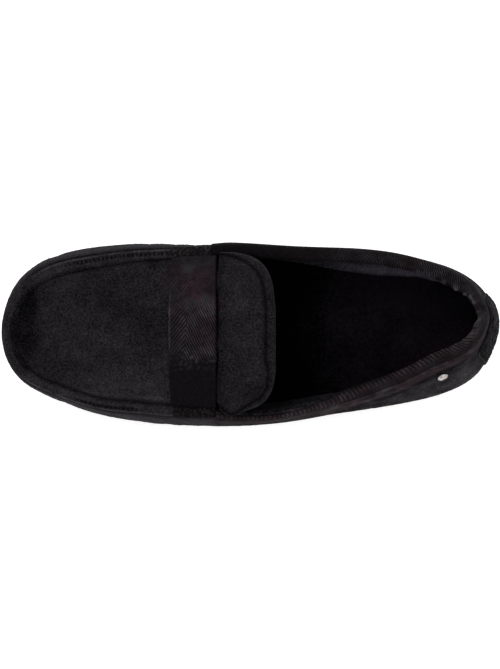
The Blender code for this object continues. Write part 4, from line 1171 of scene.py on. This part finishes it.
# slack in the strip: long soft waves
high = high + 0.22 * np.sin(bind_run[:, None] / 13.0 + 0.9) * bump(rel_path, -5.0, 3.5)
high = high - 0.6 * ((1 - smooth(bind_run, 0.0, 11.0)) * (bind_y > 0))[:, None] * (1 - smooth(rel_path, 0.0, 4.0))
high = np.maximum(high, GAP + 0.25)
end_in = np.minimum(bind_run, bind_run[-1] - bind_run)[:, None]
high = GAP * 0.6 + (high - GAP * 0.6) * np.sqrt(np.clip(1 - (1 - np.clip(end_in / 0.9, 0.05, 1)) ** 2, 0, 1))
outer = place(bind_t, path + left * high[..., None])
under = place(bind_t, path + left * (GAP * 0.5))
by_heel = np.exp(-(((bind_t - knots[14] + 1.0) / 27.0) ** 4))[:, None]
front_lat = ((bind_y < 0) * (1 - smooth(bind_x, 34.0, 66.0)))[:, None]
hatched = np.where(bind_y > 0, along(((-25.0, 0.03), (10.0, 0.05), (35.0, 0.2), (60.0, 0.31), (85.0, 0.46), (110.0, 0.54), (150.0, 0.5)), bind_x), along(((-25.0, 0.25), (-10.0, 0.36), (10.0, 0.44), (50.0, 0.42), (75.0, 0.4), (105.0, 0.5), (125.0, 0.62), (150.0, 0.55)), bind_x))[:, None]
hatched = hatched * (1 - 0.82 * np.exp(-(((bind_t - knots[14] + 5.0) / 25.0) ** 4))[:, None])
flap = np.where(bind_y < 0, along(((-25.0, 0.28), (20.0, 0.28), (44.0, 0.36), (58.0, 0.5), (75.0, 0.46), (105.0, 0.36), (150.0, 0.34)), bind_x), along(((-25.0, 0.1), (40.0, 0.11), (80.0, 0.14), (110.0, 0.2), (150.0, 0.3)), bind_x))[:, None]
over = smooth(rel_path, -1.4 - 5.0 * front_lat, 0.4 - 3.4 * front_lat)
# painted shade in the binding's fold line and along its lower edge on the wall
fold_and_edge_shade = (1 - 0.75 * bump(rel_path, -0.5, 0.5) * (1 - front_lat)) * (1 - 0.7 * bump(along_path, 0.6, 0.7))
worn = 0.45 + 1.1 * lattice_noise(outer * np.array([0.5, 1.0, 1.0]), 3.0, 53)
# on the outer side, and round the inner heel, the cloth is darker as it turns in: painted shade inside the opening
turns_in_shade = np.where(bind_y < 0, 0.8 * (1 - smooth(bind_x, 66.0, 92.0)), 0.35 * smooth(bind_x, 98.0, 116.0))[:, None] * smooth(rel_path, 1.4, 4.4)
ribs_from = along(((-25.0, -7.0), (40.0, -5.0), (56.0, -1.0), (66.0, 1.5), (92.0, 1.6), (108.0, 1.2), (122.0, 1.6), (150.0, 1.5)), bind_x)[:, None]
ribbed = np.where(bind_y[:, None] < 0, smooth(rel_path, ribs_from - 0.8, ribs_from + 0.8), 1.0)
strength = (hatched * ribbed * over + 0.12 * (1 - over)) * fold_and_edge_shade * (1 - turns_in_shade)
base_tone = np.where(bind_y < 0, along(((-25.0, 0.08), (20.0, 0.12), (60.0, 0.18), (90.0, 0.2), (150.0, 0.2)), bind_x), 0.0)[:, None]
# on the outer side a painted highlight line runs along the outer stripe below the fold
plain = (np.maximum(0.26 * by_heel, base_tone * (1 - 0.3 * ribbed)) * (1 - turns_in_shade) * over + flap * (1 - over) * worn) * fold_and_edge_shade + (0.25 * bump(rel_path, -1.9, 0.6) * (1 - front_lat) + 0.1 * front_lat * over) * (bind_y < 0)[:, None]
plain = plain + 1.5 * smooth(ragged_edge, 0.3, 0.75) * inner_line * bump(rel_path, inner_edge - 0.4, 0.8)
tint = np.where(bind_y < 0, 0.02, -0.1)[:, None] + 0.06 * by_heel + 0 * rel_path - 0.3 * inner_line * bump(rel_path, inner_edge, 0.9)
tint = tint + 0.13 * (bump(bind_x, 110.0, 18.0) * (bind_y < 0))[:, None] + by_heel * (0.06 * smooth(rel_path, 1.0, 2.4) - 0.12 * bump(rel_path, -0.4, 1.6))
weave = np.stack([rib_across, np.broadcast_to(rib_run[:, None], rel_path.shape), strength], -1)
points, faces = slab(outer, under, flip=True)
looks = {"weave": np.concatenate([weave.reshape(-1, 3), weave.reshape(-1, 3) * [1, 1, 0.1]]), "plain": np.concatenate([plain.reshape(-1), 0 * plain.reshape(-1)]), "tint": np.concatenate([tint.reshape(-1)] * 2)}
collar = mesh_object("collar_cloth", points, faces, BINDING, looks, closed=True)
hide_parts("collar_binding")

# ---------------------------------------------------------------- lining
line_t = np.linspace(0, ROUND, 401)[:-1]
fore = np.where((line_t <= T_THROAT_MED) | (line_t >= T_THROAT_LAT), 1.0, 0.0)
fore = np.maximum(fore, np.maximum(1 - smooth(line_t, T_THROAT_MED, T_FRONT_MED + 6.0), smooth(line_t, T_FRONT_LAT - 6.0, T_THROAT_LAT)) * ((line_t > 1) & (line_t < ROUND - 1)))
tuck, lip, zf, zb, corner, e1, e2 = top_frame(line_t)
low_part = lower_curve(line_t, np.linspace(0, 1, 6)[:-1])
up_share = np.linspace(0, 1, 33)
roll_size = fore * ROLL + (1 - fore) * COLLAR_ROUND
up_part = wall_curve(line_t, up_share, roll_size)
shell = np.concatenate([low_part, up_part], 1)
way = unit(np.gradient(shell, axis=1))
inward2 = np.stack([-way[..., 1], way[..., 0]], -1)
share = np.concatenate([np.zeros(5), up_share])[None]
below = np.linalg.norm(shell - corner[:, None], axis=-1)
point, out = plan(line_t)
inner_side = smooth(point[:, 1], -20.0, 20.0)[:, None]
roll_med = along(((-30.0, 0.6), (0.0, 1.6), (32.0, 4.4), (56.0, 7.7), (72.0, 8.6), (82.0, 8.0), (92.0, 6.6), (102.0, 4.8), (120.0, 3.4), (135.0, 2.8), (146.0, 2.4)), point[:, 0])
roll_lat = along(((-30.0, 3.0), (0.0, 5.0), (24.0, 5.4), (44.0, 5.0), (66.0, 3.4), (90.0, 2.2), (110.0, 1.8), (135.0, 1.8), (146.0, 2.4)), point[:, 0])
collar_roll = (np.where(point[:, 1] > 8.5, roll_med, roll_lat))[:, None] * bump(below, 11.5, 5.5) * (1 - fore[:, None])
deep = WALL + 0.45 + (COLLAR_WALL - WALL - 1.9 * np.exp(-(((line_t - knots[13] - 5.0) / 24.0) ** 4))[:, None]) * share + collar_roll
deep = np.concatenate([np.full((len(line_t), 3), WALL + 0.2), deep[:, 3:]], 1)
lining_pairs = shell + inward2 * deep[..., None]
lining_pairs[..., 1] = np.maximum(lining_pairs[..., 1], (zf + WALL - 1.0)[:, None])
# it goes on over the inner half of the collar's top, under the binding
last = lining_pairs[:, -1]
level = ((last - corner) * e2).sum(-1)[:, None]
turn_at = corner + level * e2 - 0.1 * e1
top_share = 0.45 - 0.33 * (point[:, 1] < 0) * (1 - smooth(point[:, 0], 30.0, 56.0))
top_at = corner + (top_share * COLLAR_WALL)[:, None] * e2 - 0.25 * e1
u = np.linspace(0, 1, 9)[1:][None, :, None] * (1 - fore)[:, None, None]
lining_pairs = np.concatenate([lining_pairs, last[:, None] * (1 - u) ** 2 + turn_at[:, None] * 2 * u * (1 - u) + top_at[:, None] * u * u], 1)
below = np.concatenate([below, np.repeat(below[:, -1:], 8, 1)], 1)
lumps_at = place(line_t, lining_pairs)
fuzz = lattice_noise(lumps_at, 5.0, 21) * 0.5 + lattice_noise(lumps_at, 2.2, 22) * 0.25 - 0.35
lumps_n = normals(lumps_at, wrap=True)
at_heel = smooth(point[:, 0], 98.0, 116.0)[:, None]
tufts = 1.5 * (lattice_noise(lumps_at * np.array([1.0, 1.0, 0.5]), 3.4, 24) - 0.5) * bump(below, 9.0, 6.0) * at_heel * (1 - fore[:, None])
lumps_at = lumps_at + lumps_n * (fuzz * 0.55 * (1 - 0.75 * bump(below, 10.5, 5.0) * (1 - at_heel)) + tufts)[..., None]
cuff = np.maximum(bump(below, 9.0, 7.5), below < 9.0) * (1 - fore[:, None])
# painted light and shade on the lining: darker towards the front under the tongue and lighter towards the heel, a
# painted highlight on the crest below the binding with painted shade under it, and painted shade deeper in the shoe
cuff_light_and_shade = np.where(point[:, 1] > 8.5, along(((-30.0, -0.32), (24.0, -0.32), (40.0, -0.12), (60.0, 0.08), (80.0, 0.17), (104.0, 0.3), (125.0, 0.2), (146.0, 0.0)), point[:, 0]), along(((-30.0, -0.4), (24.0, -0.42), (46.0, -0.34), (66.0, -0.1), (146.0, 0.0)), point[:, 0]))
crest_light_and_shade = 0.3 * bump(below, 7.4, 1.4) - 0.2 * smooth(below, 8.5, 14.0)
lining_light_and_shade = cuff * (cuff_light_and_shade[:, None] + crest_light_and_shade * smooth(cuff_light_and_shade, -0.1, 0.25)[:, None]) - (0.55 - 0.14 * smooth(point[:, 0], 80.0, 105.0)[:, None]) * (1 - cuff)
backing_rows = [42, 36, 30, 24, 18, 12, 7, 3]
backing = lumps_at[:, backing_rows] - lumps_n[:, backing_rows] * 1.0
cover = np.concatenate([lumps_at, backing], 1)
cover_tone = np.concatenate([lining_light_and_shade, np.full(backing.shape[:2], -0.5)], 1)
wall_lining = mesh_object("collar_lining", cover, grid_faces(len(line_t), cover.shape[1], wrap_u=True, wrap_v=True), LINING, {"tone": cover_tone.reshape(-1)}, closed=True)

# under the plug
roof = plug_base - plug_n * (WALL + 0.2) + dip
roof[..., 2] -= 0.3 * lattice_noise(plug_base, 5.0, 23)
points, faces = slab(plug_base - plug_n * (WALL - 0.9) + dip, roof, flip=True)
plug_lining = mesh_object("plug_lining", points, faces, FLEECE, {"tone": np.full(len(points), -0.1)}, closed=True)

# ---------------------------------------------------------------- insole
END_ROWS, ROW_STEP = 8, 1.5  # rows at each end, and the spacing of the rows between them
middle_d = np.linspace(3.0, HALF - 3.0, 900)
middle_x = (inset_points(t_of(middle_d), 0.0) + inset_points(t_of(-middle_d), 0.0))[:, 0] / 2
even_x = np.linspace(middle_x[0], middle_x[-1], int(round((middle_x[-1] - middle_x[0]) / ROW_STEP)) + 1)
half_d = np.concatenate([np.linspace(0, 1, END_ROWS + 1)[:-1] ** 1.5 * 3.0, np.interp(even_x, middle_x, middle_d), HALF - np.linspace(1, 0, END_ROWS + 1)[1:] ** 1.5 * 3.0])


def ladder(extra, across):
    """Points from the inner to the outer side of the sole outline moved out by extra: (len, len(across), 2)."""
    med = inset_points(t_of(half_d), extra)
    lat = inset_points(t_of(-half_d), extra)
    w = np.asarray(across)[None, :, None]
    return med[:, None] * (1 - w) + lat[:, None] * w


def ring_points(extra):
    """The same outline as a closed ring, matching the ladder's ends."""
    med = inset_points(t_of(half_d), extra)
    lat = inset_points(t_of(-half_d), extra)
    return np.concatenate([med, lat[-2:0:-1]])


def pad(name, rings, top_z, bottom_z, top_extra, bottom_extra, across, material, bend=None):
    """A closed slab: rings of (outline, height) from the top edge to the bottom edge, a top and a bottom."""
    n = len(ring_points(0.0))
    ring_list = [np.column_stack([ring_points(extra), z(ring_points(extra))]) for extra, z in rings]
    points = np.concatenate(ring_list)
    faces = [f for k in range(len(rings) - 1) for f in np.stack([k * n + np.arange(n), k * n + (np.arange(n) + 1) % n, (k + 1) * n + (np.arange(n) + 1) % n, (k + 1) * n + np.arange(n)], -1).tolist()]
    for extra, height in ((top_extra, top_z), (bottom_extra, bottom_z)):
        xy = ladder(extra, across)
        moved = xy if bend is None or height is top_z else bend(xy)
        grid = np.concatenate([moved, height(xy)[..., None]], -1)
        faces += grid_faces(len(half_d), len(across), start=len(points)).tolist()
        points = np.concatenate([points, grid.reshape(-1, 3)])
    # the tone attribute paints shade towards the front, under the tongue, and light towards the heel and the inner side
    return mesh_object(name, points, faces, material, {"tone": 0.16 * smooth(points[:, 0], 60.0, 110.0) - 0.6 * (1 - smooth(points[:, 0], 14.0, 64.0)) + (0.26 * smooth(points[:, 1], 8.0, 28.0) - 0.16 * smooth(-points[:, 1], 4.0, 24.0)) * smooth(points[:, 0], 40.0, 90.0)}, closed=True)


across = 0.5 - 0.5 * np.cos(np.linspace(0, math.pi, 91))


def outline_distance(xy, extra):
    ring_ = ring_points(extra)
    return plan_distance(xy, np.concatenate([ring_, ring_[:1]]))


def insole_top(xy):
    d = outline_distance(xy, 2.0)
    p3 = np.concatenate([xy, np.zeros_like(xy[..., :1])], -1)
    lumps = lattice_noise(p3, 7.0, 31) * 0.6 + lattice_noise(p3, 3.0, 32) * 0.5 + lattice_noise(p3, 1.6, 33) * 0.3 - 0.7
    # the heel and ball have been pressed in a little
    x, y = xy[..., 0], xy[..., 1]
    pressed = 0.8 * np.exp(-(((x - 108.0) / 20.0) ** 2) - (((y - 3.0) / 18.0) ** 2)) + 0.6 * np.exp(-(((x + 62.0) / 26.0) ** 2) - ((y / 26.0) ** 2))
    return sole_top(x) + GAP + INSOLE_THICK - (1.0 + pressed) * smooth(d, 0.0, 12.0) + 0.9 * lumps * smooth(d, 0.0, 1.5)


insole = pad(
    "insole_fleece",
    [(2.0, lambda p: sole_top(p[:, 0]) + GAP + INSOLE_THICK), (1.2, lambda p: sole_top(p[:, 0]) + GAP + 4.6), (0.2, lambda p: sole_top(p[:, 0]) + GAP + 3.4), (-GAP - 0.2, lambda p: sole_top(p[:, 0]) + GAP + 2.4), (-GAP - 0.2, lambda p: sole_top(p[:, 0]) + GAP)],
    insole_top,
    lambda xy: sole_top(xy[..., 0]) + GAP,
    2.0,
    -GAP - 0.2,
    across,
    FLEECE,
)
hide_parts("insole")

# ---------------------------------------------------------------- outsole
sole_across = 0.5 - 0.5 * np.cos(np.linspace(0, math.pi, 81))


def wavy(xy):
    """The rows of the underside in waves, straight again at its border."""
    moved = xy.copy()
    moved[..., 0] += 2.2 * np.sin(xy[..., 1] / 7.0) * smooth(outline_distance(xy, SOLE_OUT - 1.8), 2.0, 8.0)
    return moved


def tread(xy):
    """The underside: a shallow wavy groove at every sixth row inside a plain border, and a plain waist."""
    x = wavy(xy)[..., 0]
    d = outline_distance(xy, SOLE_OUT - 1.8)
    inside_ = smooth(d, 5.0, 7.0)
    beat = np.abs((np.arange(len(xy)) - END_ROWS + 3) % 6 - 3)[:, None]
    cut = 1.3 * (1 - smooth(beat, 0.5, 1.9))
    waist = 1 - smooth(x, -2.0, 4.0) * (1 - smooth(x, 78.0, 84.0))
    border = 0.8 * (1 - smooth(np.abs(d - 4.2), 0.5, 1.3))
    return sole_bottom(x) + cut * inside_ * waist + border


def side(share):
    """Height on the sole's edge, share 0 at its top and 1 at its bottom."""
    return lambda p: sole_top(p[:, 0]) * (1 - share) + sole_bottom(p[:, 0]) * share


edge_rows = [(SOLE_OUT - 0.6, side(0.0)), (SOLE_OUT - 0.2, side(0.02)), (SOLE_OUT, side(0.06)), (SOLE_OUT, side(0.2)), (SOLE_OUT - 0.1, side(0.24)), (SOLE_OUT - 0.6, side(0.27)), (SOLE_OUT - 0.6, side(0.31)), (SOLE_OUT - 0.1, side(0.34)), (SOLE_OUT, side(0.38)), (SOLE_OUT, side(0.6)), (SOLE_OUT, side(0.78)), (SOLE_OUT - 0.25, side(0.88)), (SOLE_OUT - 0.8, side(0.955)), (SOLE_OUT - 1.8, side(1.0))]
outsole = pad("sole_tread", edge_rows, lambda xy: sole_top(xy[..., 0]), tread, SOLE_OUT - 0.6, SOLE_OUT - 1.8, sole_across, RUBBER, wavy)
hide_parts("outsole")

# ---------------------------------------------------------------- heel patch
def wall_points(t, height):
    """Points of the outer wall at places t and heights (same shape)."""
    t, height = np.asarray(t, float), np.asarray(height, float)
    flat_t = t.reshape(-1)
    lower_ = lower_curve(flat_t, np.linspace(0, 1, 13)[:-1])
    upper_ = wall_curve(flat_t, np.linspace(0, 1, 40), np.full(len(flat_t), COLLAR_ROUND))
    both = np.concatenate([lower_, upper_], 1)
    h = height.reshape(-1)
    n = np.array([np.interp(h[k], both[k, :, 1], both[k, :, 0]) for k in range(len(h))])
    return place(flat_t, np.stack([n, h], -1)[:, None])[:, 0].reshape(t.shape + (3,))


P0, P1 = float(t_of(HALF - 2.6)), float(t_of(HALF + 3.4))
hs = PATCH_LOW + (PATCH_TOP - PATCH_LOW) * (0.5 - 0.5 * np.cos(np.linspace(0, math.pi, 61)))
past_corner = np.clip(hs - (PATCH_TOP - PATCH_ROUND), 0, PATCH_ROUND - 1e-6)
trim = PATCH_ROUND - np.sqrt(PATCH_ROUND**2 - past_corner**2)
w = (0.5 - 0.5 * np.cos(np.linspace(0, math.pi, 101)))[None]
patch_t = (P0 + trim)[:, None] * (1 - w) + (P1 - trim)[:, None] * w
patch_base = wall_points(patch_t, np.broadcast_to(hs[:, None], patch_t.shape))
patch_n = normals(patch_base)
patch_n = patch_n * np.sign((patch_n[30, 50] * np.array([1.0, 0.1, 0.0])).sum())
side_in = np.minimum(patch_t - (P0 + trim)[:, None], (P1 - trim)[:, None] - patch_t)
patch_in = np.minimum(side_in, (PATCH_TOP - hs)[:, None] * np.ones_like(side_in))
rough = lattice_noise(patch_base, 2.6, 54) + 0.6 * lattice_noise(patch_base, 1.3, 55) - 0.8
thick = 0.3 + (0.75 + 0.85 * rough) * (0.5 + 0.5 * smooth(side_in, 0.0, 6.0)) * np.sqrt(np.clip(1 - (1 - np.clip(patch_in / 1.4, 0, 1)) ** 2, 0, 1)) - 0.3 * bump(patch_in, 2.6, 0.5) - 0.2 * bump(patch_in, 5.2, 0.5)
points, faces = slab(patch_base + patch_n * thick[..., None], patch_base + patch_n * 0.1)
# painted shade along the patch's top edge, in the valley below the binding, and a painted highlight along its edges
patch_tone_light_and_shade = -0.04 + 0.06 * (1 - smooth(patch_base[..., 1], -20.0, -6.0)) + 0.9 * rough * smooth(patch_base[..., 1], -20.0, -10.0) - 0.6 * (1 - smooth((PATCH_TOP - hs)[:, None], 0.4, 2.0)) - 0.25 * bump(patch_in, 2.6, 0.5) - 0.2 * bump(patch_in, 5.2, 0.5) + 0.5 * bump(patch_in, 0.5, 0.5) + 0.5 * (lattice_noise(patch_base * np.array([1.0, 1.0, 0.3]), 2.2, 50) - 0.5)
heel_patch = mesh_object("heel_patch_suede", points, faces, SUEDE, {"tone": np.concatenate([patch_tone_light_and_shade.reshape(-1)] * 2)}, closed=True)
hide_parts("heel_patch")

heel_rows = Joined()
for inset in (2.6, 5.2):
    # up one side, across the top, down the other
    r = PATCH_ROUND - inset if inset < PATCH_ROUND - 0.5 else 0.5
    left_t, right_t, top_h = P0 + inset, P1 - inset, PATCH_TOP - inset
    turn = np.linspace(0, math.pi / 2, 12)
    outline_th = np.concatenate(
        [
            np.stack([np.full(30, left_t), np.linspace(19.0, top_h - r, 30)], -1),
            np.stack([left_t + r - r * np.cos(turn), top_h - r + r * np.sin(turn)], -1),
            np.stack([np.linspace(left_t + r, right_t - r, 40), np.full(40, top_h)], -1),
            np.stack([right_t - r + r * np.sin(turn), top_h - r + r * np.cos(turn)], -1),
            np.stack([np.full(30, right_t), np.linspace(top_h - r, 19.0, 30)], -1),
        ]
    )
    run = run_length(outline_th)
    for k in range(int(run[-1] / 2.8)):
        at = np.linspace(k * 2.8 + 0.3, k * 2.8 + 2.35, 7)
        tt, hh = np.interp(at, run, outline_th[:, 0]), np.interp(at, run, outline_th[:, 1])
        p = wall_points(tt, hh)
        up = wall_points(tt, hh + 0.5) - wall_points(tt, hh - 0.5)
        over_ = wall_points(tt + 0.5, hh) - wall_points(tt - 0.5, hh)
        n = unit(np.cross(up, over_))
        n = n * np.sign((n[:, :2] * plan(tt)[1]).sum(-1))[:, None]
        lift = 1.05 - (0.3 if inset < 3 else 0.2) + 0.12 - 0.45 * np.abs(np.linspace(-1, 1, 7)) ** 4
        pts, f = tube(p + n * lift[:, None], n, 0.26, 7)
        heel_rows.add(pts, f)
heel_stitches = heel_rows.make("heel_stitches", THREAD)

# ---------------------------------------------------------------- rivet
d_line = np.linspace(HALF + 2.0, STATIONS - THROAT - 1.0, 400)
xs = wall_points(t_of(d_line), np.full(400, RIVET_Z))[:, 0]
d_rivet = float(np.interp(-RIVET_X, -xs, d_line))
tr = float(t_of(d_rivet))
here = wall_points(np.array([tr]), np.array([RIVET_Z]))[0]
rise_ = unit(wall_points(np.array([tr]), np.array([RIVET_Z + 2]))[0] - wall_points(np.array([tr]), np.array([RIVET_Z - 2]))[0])
side_ = unit(wall_points(np.array([tr + 1.0]), np.array([RIVET_Z]))[0] - wall_points(np.array([tr - 1.0]), np.array([RIVET_Z]))[0])
axis = unit(np.cross(rise_, side_))
if (axis[:2] * plan(np.array([tr]))[1][0]).sum() < 0:
    axis = -axis
side_ = unit(np.cross(axis, rise_))
RIVET_PROFILE = (
    # radius, height, both as shares
    (0.0, -0.35),
    (0.93, -0.35),
    (1.0, -0.1),
    (1.04, 0.05),
    (1.06, 0.18),
    (1.03, 0.30),
    (0.97, 0.36),
    (0.90, 0.38),
    (0.86, 0.42),
    (0.82, 0.55),
    (0.72, 0.72),
    (0.58, 0.86),
    (0.40, 0.95),
    (0.20, 0.99),
    (0.0, 1.0),
)
a = np.arange(48) * 2 * math.pi / 48
lathe = np.array([[here + axis * (GAP + 0.1 + RIVET_HIGH * 0.92 * h) + RIVET_RADIUS * 0.97 * r * (math.cos(q) * side_ + math.sin(q) * rise_) for q in a] for r, h in RIVET_PROFILE])
rim_at = smooth(np.array([r for r, h in RIVET_PROFILE]), 0.7, 1.0)[:, None]
# dirt round the rim, heavier on the lower side, and painted shade and reflection of the dark wall over the lower half
# of the dome
dirt_and_shade = rim_at * (0.62 - 0.7 * np.sin(a + 0.3))[None]
dirt_and_shade = dirt_and_shade + 1.2 * smooth(np.array([r for r, h in RIVET_PROFILE])[:, None] * -np.sin(a + 0.3)[None], -0.1, 0.35)
dirt_and_shade[0] = 1.0
rivet = mesh_object("rivet_head", lathe, grid_faces(len(RIVET_PROFILE), 48, wrap_v=True), METAL, {"dirt_and_shade": dirt_and_shade.reshape(-1)}, closed=True)
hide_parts("rivet")

# ---------------------------------------------------------------- floor, light, camera
floor_mesh = bpy.data.meshes.new("floor")
floor_mesh.from_pydata([(-6, -6, -0.0004), (6, -6, -0.0004), (6, 6, -0.0004), (-6, 6, -0.0004)], [], [(0, 1, 2, 3)])
floor = bpy.data.objects.new("floor", floor_mesh)
bpy.context.scene.collection.objects.link(floor)
floor_mat, tree, shader = new_material("floor")
shader.inputs["Base Color"].default_value = grey(0.93, 0.93, 0.93)
shader.inputs["Roughness"].default_value = 0.9
shader.inputs["Specular IOR Level"].default_value = 0.0
shader.inputs["Emission Color"].default_value = grey(1.0, 1.0, 1.0)
shader.inputs["Emission Strength"].default_value = 0.5
floor_mesh.materials.append(floor_mat)

scene = bpy.context.scene
world = bpy.data.worlds.new("studio")
scene.world = world
world.use_nodes = True
world.node_tree.nodes["Background"].inputs["Color"].default_value = grey(1.0, 1.0, 1.0)
world.node_tree.nodes["Background"].inputs["Strength"].default_value = 0.72


def softbox(name, at, aim, size, power):
    lamp = bpy.data.lights.new(name, "AREA")
    lamp.shape = "RECTANGLE"
    lamp.size, lamp.size_y = size
    lamp.energy = power
    ob = bpy.data.objects.new(name, lamp)
    ob.location = at
    ob.rotation_euler = (Vector(aim) - Vector(at)).to_track_quat("-Z", "Y").to_euler()
    scene.collection.objects.link(ob)
    return ob


softbox("key", (-0.5, 0.9, 1.9), (0.0, 0.0, 0.03), (1.4, 1.0), 22.0)
softbox("fill", (0.9, -1.2, 1.5), (0.0, 0.0, 0.03), (1.2, 1.2), 9.0)

camera_data = bpy.data.cameras.new("camera")
camera = bpy.data.objects.new("camera", camera_data)
scene.collection.objects.link(camera)
TILT, DISTANCE = math.radians(4.0), 1470.0
camera.location = (-1.15 * MM, (-0.06 - DISTANCE * math.sin(TILT)) * MM, (30.0 + DISTANCE * math.cos(TILT)) * MM)
camera.rotation_euler = (TILT, 0.0, 0.0)
camera_data.sensor_fit = "AUTO"
camera_data.sensor_width = 36.0
camera_data.lens = 135.0
camera_data.clip_end = 50.0
scene.camera = camera
scene.view_settings.view_transform = "Standard"
scene.view_settings.look = "None"

bpy.context.view_layer.update()
